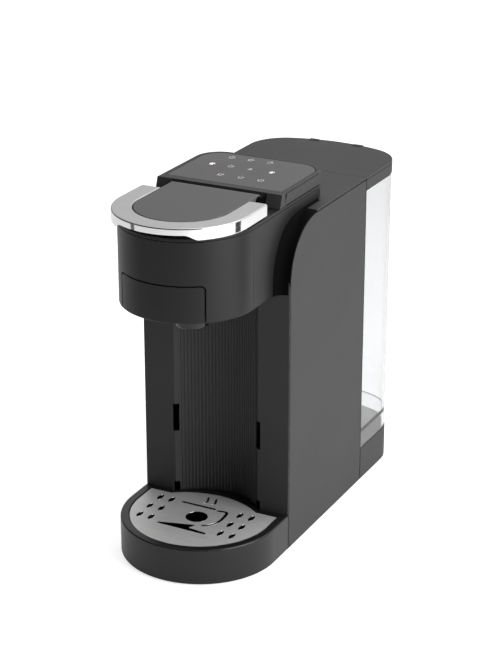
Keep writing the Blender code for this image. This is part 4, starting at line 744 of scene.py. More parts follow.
def make_materials(finish):
    """Every finish of the machine."""
    casing, dark, grain = tuple(finish.casing), tuple(finish.dark), finish.grain
    soft_black = (0.012, 0.012, 0.012)
    MATERIALS.update({
        "casing": plastic("casing_matt", casing, 0.56, grain),
        "lid": plastic("lid_matt", tuple(2.1 * c for c in casing), 0.52, grain, mottle=0.03),
        "head": plastic("head_satin", dark, 0.38, grain, gloss=0.30),
        # the column finish is the casing grey darkened to 0.85: painted shade on the front face,
        # which turns away from the lights
        "column": plastic("column_satin", tuple(0.85 * c for c in casing), 0.50, grain),
        "ribs": plastic("rib_satin", tuple(0.9 * c for c in casing), 0.40, grain),
        "tray": plastic("tray_satin", dark, 0.32, grain, gloss=0.42),
        # the rim finish is near-black with almost no sheen: painted shade, laid on the arch, the
        # head's fillets, the tops of the hinge ears and the walls of the grate's slots
        "rim": plastic("ledge_black", (0.0015, 0.0015, 0.0016), 0.75, grain, dust=0.02, rub=0.1,
                       gloss=0.05),
        "dark": plastic("dark_casing_satin", dark, 0.45, grain),
        "touch": plastic("touch_smooth", tuple(finish.touch), 0.30, grain=0.0002, depth=0.000004,
                         mottle=0.02, dust=0.06),
        "spout": plastic("spout_gloss", (0.008, 0.008, 0.0085), 0.10, grain=0.0003,
                         depth=0.000003, mottle=0.02, dust=0.04, gloss=0.5),
        "rubber": plastic("foot_rubber", soft_black, 0.82, grain=0.0009, depth=0.00006,
                          mottle=0.12, dust=0.35),
        "silicone": plastic("seal_silicone", (0.62, 0.61, 0.57), 0.42, grain=0.0008,
                            depth=0.00001, mottle=0.05, dust=0.10, subsurface_weight=0.15),
        "white": plastic("white_moulding", (0.72, 0.71, 0.67), 0.42, grain=0.0006,
                         depth=0.00002, mottle=0.04, dust=0.05),
        "chrome": polished_metal("chrome_bright", (0.90, 0.90, 0.91), 0.07, 0.035),
        "chrome_top": brushed_metal("chrome_satin", (0.53, 0.53, 0.535), 0.36, (900, 900, 900),
                                    0.00001),
        "grate": brushed_metal("grate_steel", (0.78, 0.775, 0.77), 0.50, (120, 3600, 3600),
                               metallic=0.45),
        "steel": brushed_metal("pin_steel", (0.58, 0.58, 0.59), 0.26, (400, 3000, 3000)),
        "brass": brushed_metal("pump_brass", (0.66, 0.47, 0.20), 0.28, (2500, 2500, 300)),
        "aluminium": brushed_metal("cast_aluminium", (0.66, 0.67, 0.68), 0.42,
                                   (1500, 1500, 1500), 0.00006),
        "clear": clear_plastic(),
        "icons": icon_light(finish.icon, finish.icon_glow),
        "board": board_green(),
    })


# --- geometry trees, for what repeats ------------------------------------------------------------
def new_tree(name, *numbers, part=False):
    """A geometry tree with its number inputs, a material and perhaps a part to copy."""
    tree = bpy.data.node_groups.new(name, "GeometryNodeTree")
    sockets = {"Geometry": "Geometry", **dict.fromkeys(numbers, "Float"), "Material": "Material"}
    if part:
        sockets["Part"] = "Object"
    for label, kind in sockets.items():
        tree.interface.new_socket(label, in_out="INPUT", socket_type=f"NodeSocket{kind}")
    tree.interface.new_socket("Geometry", in_out="OUTPUT", socket_type="NodeSocketGeometry")
    return tree, tree.nodes.new("NodeGroupInput").outputs, tree.nodes.new("NodeGroupOutput").inputs


def finish_tree(tree, instances, given, out):
    """Realize the copies and give them their material."""
    real = add_node(tree, "GeometryNodeRealizeInstances", {"Geometry": instances})
    dressed = add_node(tree, "GeometryNodeSetMaterial", {"Geometry": real.outputs[0],
                                                         "Material": given["Material"]})
    tree.links.new(dressed.outputs[0], out["Geometry"])


def combine(tree, x=0.0, y=0.0, z=0.0):
    """Three numbers as one vector."""
    return add_node(tree, "ShaderNodeCombineXYZ", {"X": x, "Y": y, "Z": z}).outputs[0]


def point_place(tree):
    """The X, Y and Z of each point."""
    position = tree.nodes.new("GeometryNodeInputPosition").outputs[0]
    return add_node(tree, "ShaderNodeSeparateXYZ", {0: position}).outputs


def on_points(tree, points, instance, **inputs):
    """A copy of the instance on each point."""
    given = {"Points": points, "Instance": instance, **inputs}
    return add_node(tree, "GeometryNodeInstanceOnPoints", given).outputs[0]


def wire_along(tree, path, radius):
    """A thin round wire along a path."""
    ring = add_node(tree, "GeometryNodeCurvePrimitiveCircle", {"Resolution": 8, "Radius": radius})
    return add_node(tree, "GeometryNodeCurveToMesh", {"Curve": path,
                                                      "Profile Curve": ring.outputs[0]}).outputs[0]


def rib_tree():
    """Upright round-backed ribs along an arc, a pitch apart."""
    tree, given, out = new_tree("ribs_on_arc", "Radius", "Half Angle", "Pitch", "Width", "Depth",
                                "Height")
    sweep = maths(tree, "MULTIPLY", given["Half Angle"], 2.0)
    start = maths(tree, "SUBTRACT", math.pi / 2, given["Half Angle"])
    path = add_node(tree, "GeometryNodeCurveArc", {"Resolution": 200, "Radius": given["Radius"],
                                                   "Start Angle": start, "Sweep Angle": sweep})
    length = maths(tree, "MULTIPLY", sweep, given["Radius"])
    count = maths(tree, "ROUND", maths(tree, "DIVIDE", length, given["Pitch"]))
    points = add_node(tree, "GeometryNodeCurveToPoints", {"Curve": path.outputs[0], "Count": count},
                      mode="COUNT")
    half_width = maths(tree, "DIVIDE", given["Width"], 2.0)
    rib = add_node(tree, "GeometryNodeMeshCylinder", {"Vertices": 14, "Radius": half_width,
                                                      "Depth": given["Height"]})
    place = point_place(tree)
    heading = maths(tree, "ARCTAN2", place["Y"], place["X"])
    facing = add_node(tree, "FunctionNodeEulerToRotation", {0: combine(tree, z=heading)})
    size = combine(tree, x=maths(tree, "DIVIDE", given["Depth"], half_width), y=1.0, z=1.0)
    ribs = on_points(tree, points.outputs[0], rib.outputs["Mesh"], Rotation=facing.outputs[0],
                     Scale=size)
    finish_tree(tree, ribs, given, out)


def lip_tree():
    """A thin raised lip round each pointed oval slot, one on each point."""
    tree, given, out = new_tree("slot_lips", "Length", "Width", "Wire")
    ring = add_node(tree, "GeometryNodeCurvePrimitiveCircle", {"Resolution": 32, "Radius": 1.0})
    place = point_place(tree)
    swell = maths(tree, "POWER", maths(tree, "ABSOLUTE", place["X"]), 1.3)
    side = maths(tree, "MULTIPLY", maths(tree, "SIGN", place["X"]), swell)
    across = maths(tree, "MULTIPLY", side, maths(tree, "DIVIDE", given["Width"], 2.0))
    along = maths(tree, "MULTIPLY", place["Y"], maths(tree, "DIVIDE", given["Length"], 2.0))
    leaf_path = add_node(tree, "GeometryNodeSetPosition", {
        "Geometry": ring.outputs[0], "Position": combine(tree, across, along)})
    lip = wire_along(tree, leaf_path.outputs[0], given["Wire"])
    finish_tree(tree, on_points(tree, given["Geometry"], lip), given, out)


def edge_tree():
    """A thin lip along every closed line of edges."""
    tree, given, out = new_tree("edge_lips", "Wire")
    path = add_node(tree, "GeometryNodeMeshToCurve", {"Mesh": given["Geometry"]})
    finish_tree(tree, wire_along(tree, path.outputs[0], given["Wire"]), given, out)


def copies_tree():
    """A copy of one part on each point."""
    tree, given, out = new_tree("copies_on_points", part=True)
    part = add_node(tree, "GeometryNodeObjectInfo", {"Object": given["Part"]})
    copies = on_points(tree, given["Geometry"], part.outputs["Geometry"])
    finish_tree(tree, copies, given, out)


def grown(name, tree_name, points, edges=(), **values):
    """A plain mesh grown on points or edges by a geometry tree, with its named inputs set."""
    mesh = bpy.data.meshes.new(name)
    mesh.from_pydata([tuple(point) for point in points], edges, [])
    piece = placed(name, mesh)
    modifier = piece.modifiers.new(tree_name, "NODES")
    modifier.node_group = bpy.data.node_groups[tree_name]
    for item in modifier.node_group.interface.items_tree:
        key = item.name.lower().replace(" ", "_")
        if item.in_out == "INPUT" and key in values:
            modifier[item.identifier] = values[key]
    return baked(piece)


def copies_of(part, name, places, finish):
    """A plain mesh with a copy of the part at each place; the part is used up."""
    piece = grown(name, "copies_on_points", places, part=part, material=MATERIALS[finish])
    bpy.data.objects.remove(part)
    return piece


# --- casing --------------------------------------------------------------------------------------
def slot_tools():
    """Cutters for the two rows of hook slots beside the hollow."""
    corner, depth = 0.0006, 0.009
    tools = []
    for row, low_z in enumerate(SLOT_ROWS):
        for sign in (-1, 1):
            near, far = span(sign, SLOT_INNER_X, SLOT_INNER_X + SLOT_WIDTH)
            outline = rectangle(near, far, low_z, low_z + SLOT_HEIGHT, corner)
            name = f"slot_tool_{row}_{sign}"
            tools.append(prism(name, outline, FACE_Y - PAST, FACE_Y + depth, "Y"))
    return tools


def make_column(detail):
    """Column face, arch and deck in one sheet, with the round hollow for the cup."""
    outer = side_outline(0, BODY_REAR_Y, FLOOR_Z)
    inner = side_outline(SKIN, BODY_REAR_Y, FLOOR_Z)
    sheet = outer[2:] + [outer[0], inner[0]] + inner[:1:-1]
    column = block("column_front", sheet, edge_rows(-HALF, HALF, detail.edge, detail.edge), "X")
    plate_top = high("head_bottom").z
    wall_radius = RECESS_RADIUS + RECESS_WALL
    meet = math.degrees(math.asin((FACE_Y + SKIN / 2 - RECESS_Y) / wall_radius))
    wall = arc(0, RECESS_Y, wall_radius, meet, 180 - meet, 60)
    weld(column, prism("recess_back", wall, FLOOR_Z, plate_top))
    hollow = rod("recess_tool", (0, RECESS_Y), RECESS_RADIUS, -PAST, plate_top + PAST, steps=240)
    opening_half = HEAD_HALF - HEAD_WALL
    opening = rectangle(-opening_half, opening_half, FACE_Y - 2 * PAST, FACE_Y + HEAD_OPENING_REAR)
    carve(column, hollow, prism("head_opening_tool", opening, HEAD_LOW_Z - GAP, TOP_Z),
          *slot_tools())

    # The arch takes the near-black rim finish, which is painted shade; the front face takes the
    # column finish, the casing grey with painted shade; the deck keeps the plain casing.
    def finish_of(face):
        place = face.center
        if place.z > DECK_Z - SKIN - GAP and place.y > ARCH_Y:
            return 2
        return int(place.z > ARCH_Z and place.y > FACE_Y + SKIN / 20)

    dress(column, ("column", "rim", "casing"), finish_of)
    settle(column, "root", None, ["front_shroud"])


def make_ribs(detail):
    """The upright ribs on the wall of the hollow."""
    half_angle = math.asin((SLOT_INNER_X - detail.rib_width) / RECESS_RADIUS)
    low_z = TRAY_TOP_Z + 0.001
    ribs = grown("recess_ribs", "ribs_on_arc", [], radius=RECESS_RADIUS, half_angle=half_angle,
                 pitch=detail.rib_pitch, width=detail.rib_width, depth=detail.rib_depth,
                 height=HEAD_LOW_Z - low_z, material=MATERIALS["ribs"])
    ribs.data.transform(Matrix.Translation((0, RECESS_Y, (HEAD_LOW_Z + low_z) / 2)))
    settle(ribs, "root", None)


def make_slot_catches():
    """The catch inside the lower half of each upper hook slot."""
    half_width, thickness, depth = 0.0016, 0.0015, 0.0092
    part = rounded_box("catch_part", (-half_width, 0, 0),
                       (half_width, thickness, SLOT_HEIGHT * 0.45))
    middle = SLOT_INNER_X + SLOT_WIDTH * 0.62
    places = [(sign * middle, FACE_Y + depth, SLOT_ROWS[1]) for sign in (-1, 1)]
    settle(copies_of(part, "slot_catches", places, "column"), "root", None)


def make_side_panels(detail):
    """The two flat side covers, which end under the edge of the front sheet."""
    outline = side_outline(SKIN + 2 * GAP, BODY_REAR_Y - SHY, FLOOR_Z)
    for side, start, end, edges in (("left", -HALF, -PANEL_INNER_X, (detail.edge, 0)),
                                    ("right", PANEL_INNER_X, HALF, (0, detail.edge))):
        panel = block(f"panel_{side}", outline, edge_rows(start, end, *edges), "X")
        settle(panel, "root", "casing", [f"{side}_side_panel"])


def make_pedestal(detail):
    """The foot that the tank stands on."""
    wall, top_round, seat_radius, gland_radius = 0.0025, 0.0007, 0.0099, 0.0053
    outline = tank_outline(TANK_FRONT_Y + SHY)
    foot = block("pedestal_shell", outline, edge_rows(FLOOR_Z, PEDESTAL_Z, detail.edge, top_round))
    inside = prism("pedestal_tool", inset(outline, wall), -PAST, PEDESTAL_Z - wall)
    seat_hole = rod("seat_tool", VALVE, seat_radius, PEDESTAL_Z - 2 * wall, PEDESTAL_Z + PAST,
                    steps=48)
    gland_low, gland_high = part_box("cord_gland")
    middle = (gland_low + gland_high) / 2
    gland_hole = rod("gland_tool", (middle.x, middle.z), gland_radius, gland_low.y, REAR_Y + PAST,
                     "Y")
    carve(foot, inside, seat_hole, gland_hole)
    settle(foot, "root", "casing", ["tank_pedestal"])


# --- head ----------------------------------------------------------------------------------------
def head_ring_rows(lowest, top, low_round, top_round):
    """Rows round the wall of the head: up its outside and down its inside."""
    return edge_rows(lowest, top, low_round, top_round) + [(HEAD_WALL, top), (HEAD_WALL, lowest)]


def cover_window(name, shrink):
    """The prism of the front cover's outline, smaller by the seam for the cover itself."""
    border = 0.0008 - shrink
    half = high("spout_cover").x + border
    outline = rectangle(-half, half, HEAD_LOW_Z - COVER_CORNER - PAST,
                        high("spout_cover").z + border, COVER_CORNER - shrink)
    return prism(name, outline, HEAD_AXIS_Y - HEAD_HALF - PAST, HEAD_AXIS_Y - 0.01, "Y")


def make_head():
    """The head's upright wall, cut where the arch and the deck pass through it."""
    wall = block("head_wall", head_outline(),
                 head_ring_rows(HEAD_LOW_Z, HEAD_SEAM_Z, 0.0010, 0.0005), loop=True)
    body_low = HEAD_LOW_Z - ARCH_RADIUS
    body = [Vector((FACE_Y - GAP, body_low)), Vector((REAR_Y, body_low)),
            Vector((REAR_Y, DECK_Z + GAP))] + arc(ARCH_Y, ARCH_Z, ARCH_RADIUS + GAP, 90, 180, 28)
    line_half, line_depth = 0.00013, 0.0002
    lines = []
    for sign in (-1, 1):
        near, far = span(sign, HEAD_HALF - line_depth, HEAD_HALF + PAST)
        outline = rectangle(near, far, HEAD_AXIS_Y - line_half, HEAD_AXIS_Y + line_half)
        lines.append(prism(f"line_tool_{sign}", outline, HEAD_LOW_Z - PAST,
                           HEAD_SEAM_Z - 2 * line_depth))
    carve(wall, prism("body_tool", body, -HALF, HALF, "X"), cover_window("window_tool", 0.0),
          *lines)
    settle(wall, "root", "head", ["head_shell"])


def make_head_floor():
    """The plate that closes the head below, with the hole for the spout's neck."""
    low_z, top_z = HEAD_LOW_Z + SHY, high("head_bottom").z
    outline = d_outline(HEAD_HALF - HEAD_WALL - GAP, HEAD_AXIS_Y, high("head_bottom").y)
    floor = block("head_floor", outline, edge_rows(low_z, top_z, 0.0004, 0))
    carve(floor, rod("neck_tool", BREW, NECK_RADIUS + GAP, low_z - PAST, top_z + PAST, steps=48))
    settle(floor, "root", "dark", ["head_bottom"])


def make_fillets(radius):
    """The hollow curve that carries each side of the head into the arch."""
    turns, fade_from, thinnest = 10, 0.72, 0.25
    path = [(Vector((FACE_Y, HEAD_LOW_Z)), Vector((-1, 0)), 1.0),
            (Vector((FACE_Y, ARCH_Z)), Vector((-1, 0)), 1.0)]
    for point in arc(ARCH_Y, ARCH_Z, ARCH_RADIUS, 180, 90, 24)[1:]:
        outward = (point - Vector((ARCH_Y, ARCH_Z))).normalized()
        upright = max(0.0, (outward.y - fade_from) / (1 - fade_from))
        fade = 1.0 - upright ** 1.5 * (1 - thinnest)
        path.append((point, outward, fade))
    path.append((Vector((HEAD_REAR_Y - HEAD_CORNER, DECK_Z)), Vector((0, 1)), thinnest))
    for side, sign in (("left", -1), ("right", 1)):
        rings = []
        for point, outward, share in path:
            size = radius * share
            ring = []
            for step in range(turns + 1):
                angle = math.pi / 2 * step / turns
                across = HEAD_HALF + size * (1 - math.cos(angle)) - GAP
                spot = point + outward * (size * (1 - math.sin(angle)) + GAP / 3)
                ring.append(Vector((sign * across, *spot)))
            back = point - outward * GAP
            ring += [Vector((sign * across, *back)) for across in (HEAD_HALF + size,
                                                                   HEAD_HALF - 2 * GAP)]
            rings.append(ring)
        # The fillets take the near-black rim finish: painted shade in the hollow between the head
        # and the arch.
        settle(skin(f"head_fillet_{side}", rings), "root", "rim")


def make_cover(detail):
    """The outlined panel at the front of the head, with its two tongues."""
    cover = block("front_cover", head_outline(),
                  head_ring_rows(HEAD_LOW_Z + 0.0001, HEAD_SEAM_Z, 0.0010, 0.0), loop=True)
    boolean(cover, [cover_window("cover_tool", detail.seam)], "INTERSECT")
    tongue_x, tongue_half, thickness, rooted = 0.021, 0.003, 0.0022, 0.0011
    low_z = high("head_bottom").z + GAP
    wall_y = HEAD_AXIS_Y - math.sqrt((HEAD_HALF - HEAD_WALL) ** 2 - tongue_x ** 2)
    for sign in (-1, 1):
        middle = sign * tongue_x
        weld(cover, rounded_box(
            f"tongue_{sign}", (middle - tongue_half, wall_y - rooted, low_z),
            (middle + tongue_half, high("spout_cover").y, low_z + thickness)))
    settle(cover, "spout_cover", "head", ["spout_cover"])


def make_head_ring():
    """The plate under the lid and the console, with the ears of the lid hinge."""
    ring = block("head_ring", head_outline(), edge_rows(RING_Z, RING_TOP_Z, 0.0003, 0.0006))
    ear_x, ear_width, ear_radius = LID_RADIUS + 0.0004, 0.003, 0.005
    hinge_reach, latch_half = 0.0067, 0.0035
    latch_y = (low("lid_latch").y + high("lid_latch").y) / 2
    under, over = RING_Z - PAST, RING_TOP_Z + PAST
    holes = {"hinge_tool": rectangle(-ear_x, ear_x, FACE_Y - hinge_reach, FACE_Y + hinge_reach),
             "wire_tool": rectangle(-0.030, 0.030, FACE_Y + 0.024, FACE_Y + 0.070),
             "latch_tool": rectangle(-2 * latch_half, 2 * latch_half, latch_y - latch_half,
                                     latch_y + latch_half, 0.0008)}
    carve(ring, rod("pod_tool", BREW, POD_RADIUS + 0.0006, under, over, steps=96),
          *[prism(name, outline, under, over) for name, outline in holes.items()])
    for sign in (-1, 1):
        foot_z = RING_TOP_Z - 0.001
        outline = [Vector((FACE_Y - ear_radius, foot_z)), Vector((FACE_Y + ear_radius, foot_z))]
        outline += arc(HINGE.y, HINGE.z, ear_radius, 0, 180, 20)
        near, far = span(sign, ear_x, ear_x + ear_width)
        weld(ring, block(f"ear_{sign}", outline, edge_rows(near, far, 0.0003, 0.0003), "X"))
    # The tops of the ears take the near-black rim finish: painted shade, as they sit in the dark
    # pockets beside the lid.
    dress(ring, ("head", "rim"), lambda face: int(face.center.z > RING_TOP_Z + GAP))
    settle(ring, "root", None, ["head_deck"])


# --- console -------------------------------------------------------------------------------------
def slope_tool(name, foot_y, top_y):
    """Everything ahead of the console's sloping front."""
    front_y, low_z, top_z = FACE_Y - 2 * HALF, CONSOLE_Z - PAST, TOP_Z + PAST
    outline = [Vector(p) for p in ((front_y, low_z), (foot_y, low_z), (top_y, top_z),
                                   (front_y, top_z))]
    return prism(name, outline, -HALF, HALF, "X")


def touch_outline(grow):
    """The touch panel from above."""
    box_low, box_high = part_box("touch_panel")
    half, front, rear = box_high.x + grow, box_low.y - grow, box_high.y + grow
    corner = TOUCH_CORNER + grow
    right = arc(half - corner, rear - corner, corner, 0, 90, 20)
    left = arc(corner - half, rear - corner, corner, 90, 180, 20)
    return [Vector((-half, front)), Vector((half, front))] + right + left


def make_console():
    """The console's shell behind the lid, with a lip over the side strip and a sloping front."""
    strip_depth, top_round, slope_run = 0.0012, 0.00045, 0.005
    strip_top = high("console_band").z + SHY
    rows = [(strip_depth, CONSOLE_Z), (strip_depth, strip_top), (SHY, strip_top)]
    rows += edge_rows(strip_top + SHY / 2, TOP_Z, 0, top_round)
    shell = block("console_shell", head_outline(), rows)
    for sign in (-1, 1):
        cheek = rectangle(*span(sign, HEAD_HALF - 0.003, HEAD_HALF), FACE_Y,
                          low("console_band").y - SHY)
        weld(shell, prism(f"cheek_{sign}", cheek, CONSOLE_Z, strip_top + SHY / 2))
    bay, wall, roof = LID_RADIUS + 0.0039, 0.003, 0.0022
    front_y = low("console_housing").y
    carve(shell, slope_tool("slope", front_y, front_y + slope_run),
          prism("bay_tool", rectangle(-bay, bay, FACE_Y - 0.01, FACE_Y + 0.008), CONSOLE_Z - PAST,
                TOP_Z + PAST),
          prism("pocket_tool", touch_outline(RUNNING), low("touch_panel").z - GAP, TOP_Z + PAST),
          prism("hollow_tool", touch_outline(-wall), CONSOLE_Z - PAST, TOP_Z - roof))
    settle(shell, "root", "casing", ["console_housing"])


def make_console_strip():
    """The strip set back round the foot of the console."""
    depth, slope_run, edge = 0.0009, 0.0036, 0.0003
    low_z, top_z = CONSOLE_Z + 0.0004, high("console_band").z - 0.0004
    rows = edge_rows(low_z, top_z, edge, edge) + [(depth, top_z), (depth, low_z)]
    strip = block("console_strip", head_outline(), rows, loop=True)
    front_y = low("console_band").y
    carve(strip, slope_tool("strip_slope", front_y - 0.001, front_y + slope_run))
    settle(strip, "root", "casing", ["console_band"])


def make_touch_panel():
    """The smooth panel over the touch board."""
    rows = edge_rows(low("touch_panel").z, TOP_Z, 0, 0.0003)
    settle(block("touch_cover", touch_outline(0), rows), "root", "touch",
           ["touch_panel"])


def path_sides(path, width):
    """The left and the right side of a stroke of even width along flat points."""
    left, right = [], []
    for i, here in enumerate(path):
        ahead = (path[min(i + 1, len(path) - 1)] - path[max(i - 1, 0)]).normalized()
        across = Vector((-ahead.y, ahead.x)) * (width / 2)
        left.append(here + across)
        right.append(here - across)
    return left, right


def ribbon(work, path, width, low_z, high_z):
    """A thin flat stroke along flat points."""
    left, right = path_sides(path, width)
    sides = [[work.verts.new((*point, z)) for z in (low_z, high_z) for point in pair]
             for pair in zip(right, left)]
    for first, second in zip(sides, sides[1:]):
        for a, b in ((0, 1), (1, 3), (3, 2), (2, 0)):
            work.faces.new((first[a], first[b], second[b], second[a]))
    for end in (sides[0], sides[-1]):
        work.faces.new((end[0], end[1], end[3], end[2]))


def sized(strokes, size):
    """Strokes drawn at a size of one, brought to their real size."""
    return [[point * size for point in path] for path in strokes]


def cup_strokes(size):
    """A small cup with steam, as strokes round its middle."""
    bowl = [Vector((-0.5, 0.35)), Vector((-0.42, -0.15))] + arc(-0.12, -0.12, 0.30, 180, 270, 5)
    bowl += arc(0.12, -0.12, 0.30, 270, 360, 5) + [Vector((0.5, 0.35)), Vector((-0.5, 0.35))]
    handle = arc(0.50, 0.08, 0.20, 75, -80, 6)
    saucer = [Vector((-0.45, -0.60)), Vector((0.45, -0.60))]
    steam = [[Vector((x, 0.55)), Vector((x + 0.08, 0.72)), Vector((x, 0.92))] for x in (-0.2, 0.15)]
    return sized((bowl, handle, saucer, *steam), size)


def drop_strokes(size):
    """A falling drop, thickened so that it reads as filled."""
    outline = arc(0, -0.15, 0.36, -215, 35, 12) + [Vector((0, 0.62))]
    outline.append(outline[0])
    inner = [point * 0.55 + Vector((0, -0.03)) for point in outline]
    return sized((outline, inner), size)


def switch_strokes(size):
    """A broken ring with a bar: the switch sign."""
    ring = arc(0, 0, 0.48, 120, 420, 20)
    return sized((ring, [Vector((0, 0.62)), Vector((0, 0.15))]), size)


def make_icons():
    """Three rows of lit pictograms on the touch panel."""
    # strokes, their width, and places right of the middle and behind the column's face
    kinds = {
        "cup": (cup_strokes(0.0040), 0.00046,
                ((-0.026, 0.079), (-0.009, 0.079), (0.008, 0.079), (-0.0154, 0.0565),
                 (-0.0125, 0.034), (0.0052, 0.034))),
        "drop": (drop_strokes(0.0040), 0.00070, ((0.002, 0.0565),)),
        "mug": (cup_strokes(0.0036) + drop_strokes(0.0018), 0.00085,
                ((-0.032, 0.0565), (0.0208, 0.0565))),
        "switch": (switch_strokes(0.0046), 0.00046, ((0.0227, 0.034),)),
    }
    for name, (strokes, width, places) in kinds.items():
        work = bmesh.new()
        for path in strokes:
            ribbon(work, path, width, -0.00004, 0.00006)
        part = new_piece(f"icon_part_{name}", work)
        spots = [(x, FACE_Y + y, TOP_Z - 0.00006) for x, y in places]
        settle(copies_of(part, f"touch_icons_{name}", spots, "icons"), "root", None)


# --- lid -----------------------------------------------------------------------------------------
def make_lid():
    """The lid's plate with the hinge barrel across its rear."""
    wall = 0.0024
    axis_y = low("lid_panel").y + LID_RADIUS
    barrel_radius = high("lid_panel").y - HINGE.y
    bore_radius = high("lid_hinge_pin").z - HINGE.z + GAP
    axle = (HINGE.y, HINGE.z)
    lid = block("lid_plate", d_outline(LID_RADIUS, axis_y, FACE_Y),
                edge_rows(HINGE.z, TOP_Z, 0.0003, 0.0005))
    hollow = d_outline(LID_RADIUS - wall, axis_y, HINGE.y - barrel_radius - wall)
    weld(lid, rod("barrel", axle, barrel_radius, -LID_RADIUS, LID_RADIUS, "X", 64, 0.0004))
    carve(lid, prism("hollow_tool", hollow, HINGE.z - PAST, TOP_Z - wall),
          rod("bore_tool", axle, bore_radius, -HALF, HALF, "X"))
    settle(lid, "lid", "lid", ["lid_panel"])


def handle_outline():
    """The chrome band from above: a horseshoe with its outer ends rounded."""
    corner, inner = 0.0018, HANDLE_INNER
    outline = arc(0, HANDLE_AXIS_Y, HANDLE_RADIUS, 180, 360, 120)
    outline += arc(HANDLE_RADIUS - corner, HANDLE_END_Y - corner, corner, 0, 90, CORNER_STEPS)
    outline += [Vector((inner, HANDLE_END_Y))] + arc(0, HANDLE_AXIS_Y, inner, 360, 180, 120)
    outline += [Vector((-inner, HANDLE_END_Y))]
    return outline + arc(corner - HANDLE_RADIUS, HANDLE_END_Y - corner, corner, 90, 180,
                         CORNER_STEPS)


def finger_notch():
    """The notch under the front of the handle: flat in the middle and eased at its ends."""
    half, slope, height, steps = 0.026, 0.011, 0.0045, 16
    outline = [Vector((-half - slope, HANDLE_Z - PAST))]
    for sign in (-1, 1):
        for step in range(steps + 1):
            share = step / steps if sign < 0 else 1 - step / steps
            rise = height * (1 - math.cos(math.pi * share)) / 2
            outline.append(Vector((sign * (half + slope * (1 - share)), HANDLE_Z + rise)))
    outline.append(Vector((half + slope, HANDLE_Z - PAST)))
    return prism("notch_tool", outline, low("lid_handle").y - PAST,
                 HANDLE_AXIS_Y - HANDLE_INNER + 0.012, "Y")


def make_handle():
    """The chrome band round the lid, with a finger notch under its front."""
    corner, end_y, low_z = 0.003, HANDLE_END_Y + PAST, HANDLE_Z - PAST
    handle = block("handle_band", handle_outline()[1:],
                   edge_rows(HANDLE_Z, TOP_Z, 0.0012, 0.0011))
    outline = arc(HANDLE_END_Y - corner, HANDLE_Z + corner, corner, -90, 0, 10)
    outline += [Vector((end_y, HANDLE_Z + corner)), Vector((end_y, low_z)),
                Vector((HANDLE_END_Y - corner, low_z))]
    carve(handle, finger_notch(), prism("corner_tool", outline, -HALF, HALF, "X"))
    dress(handle, ("chrome", "chrome_top"), lambda face: int(face.normal.z > 0.72))
    settle(handle, "lid", None, ["lid_handle"])


def make_lid_underside():
    """What the lid carries below: the plate with its stiffening rim and needle collar."""
    rim, dish_depth, pad_radius, needle_radius = 0.004, 0.0006, 0.0175, 0.0018
    corner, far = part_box("lid_inner_plate")
    axis_y = corner.y + far.x
    plate = block("lid_under_plate", d_outline(far.x, axis_y, far.y),
                  edge_rows(corner.z, far.z, 0.0005, 0.0002))
    dish = d_outline(far.x - rim, axis_y, far.y - rim)
    carve(plate, prism("dish_tool", dish, corner.z - PAST, corner.z + dish_depth))
    weld(plate, rod("pad", BREW, pad_radius, corner.z, far.z - GAP, steps=80, edge=0.0003))
    carve(plate, rod("needle_tool", BREW, needle_radius, corner.z - PAST, far.z + PAST))
    settle(plate, "lid", "dark", ["lid_inner_plate"])


# --- brewing -------------------------------------------------------------------------------------
def make_spout():
    """The glossy spout under the head: collar, eased waist and a thin tip."""
    flare, waist, steps = 0.0017, 0.005, 8
    tip_z, neck_z = low("spout").z, high("spout").z
    radius = high("spout").x - flare
    collar_z = HEAD_LOW_Z - GAP
    waist_z = collar_z - 0.004
    profile = [(NECK_RADIUS, neck_z), (NECK_RADIUS, collar_z), (radius + flare - 0.0004, collar_z),
               (radius + flare, collar_z - 0.0004), (radius + flare, waist_z)]
    for step in range(1, steps + 1):
        ease = (1 + math.cos(math.pi * step / steps)) / 2
        profile.append((radius + flare * ease, waist_z - waist * step / steps))
    profile += [(radius, tip_z + 0.0015), (radius - 0.0003, tip_z + 0.0006),
                (radius - 0.001, tip_z), (radius - 0.0026, tip_z),
                (radius - 0.0030, tip_z + 0.0004), (radius - 0.0034, tip_z + 0.006),
                (0.0035, tip_z + 0.009), (0.0035, neck_z)]
    settle(turned("spout_shell", profile, BREW, 96), "root", "spout", ["spout"])


def make_pod_holder():
    """The cup that a pod drops into, with its flange on the ring."""
    flange, top_z, floor_z = high("pod_holder").x, high("pod_holder").z, low("pod_holder").z
    under_z = RING_TOP_Z + GAP
    wall, foot, hole = POD_RADIUS, POD_RADIUS - 0.0028, 0.003
    profile = [(flange, top_z - 0.0004), (flange, under_z), (wall, under_z),
               (foot, floor_z + 0.002), (foot - 0.0006, floor_z + 0.0006), (foot - 0.002, floor_z),
               (hole, floor_z), (hole, floor_z + 0.0015), (foot - 0.004, floor_z + 0.0015),
               (foot - 0.0018, floor_z + 0.0035), (wall - 0.0015, top_z - 0.0012),
               (wall - 0.0007, top_z - 0.0004), (wall + 0.0003, top_z), (flange - 0.0004, top_z)]
    settle(turned("pod_cup", profile, BREW, 96), "root", "dark", ["pod_holder"])


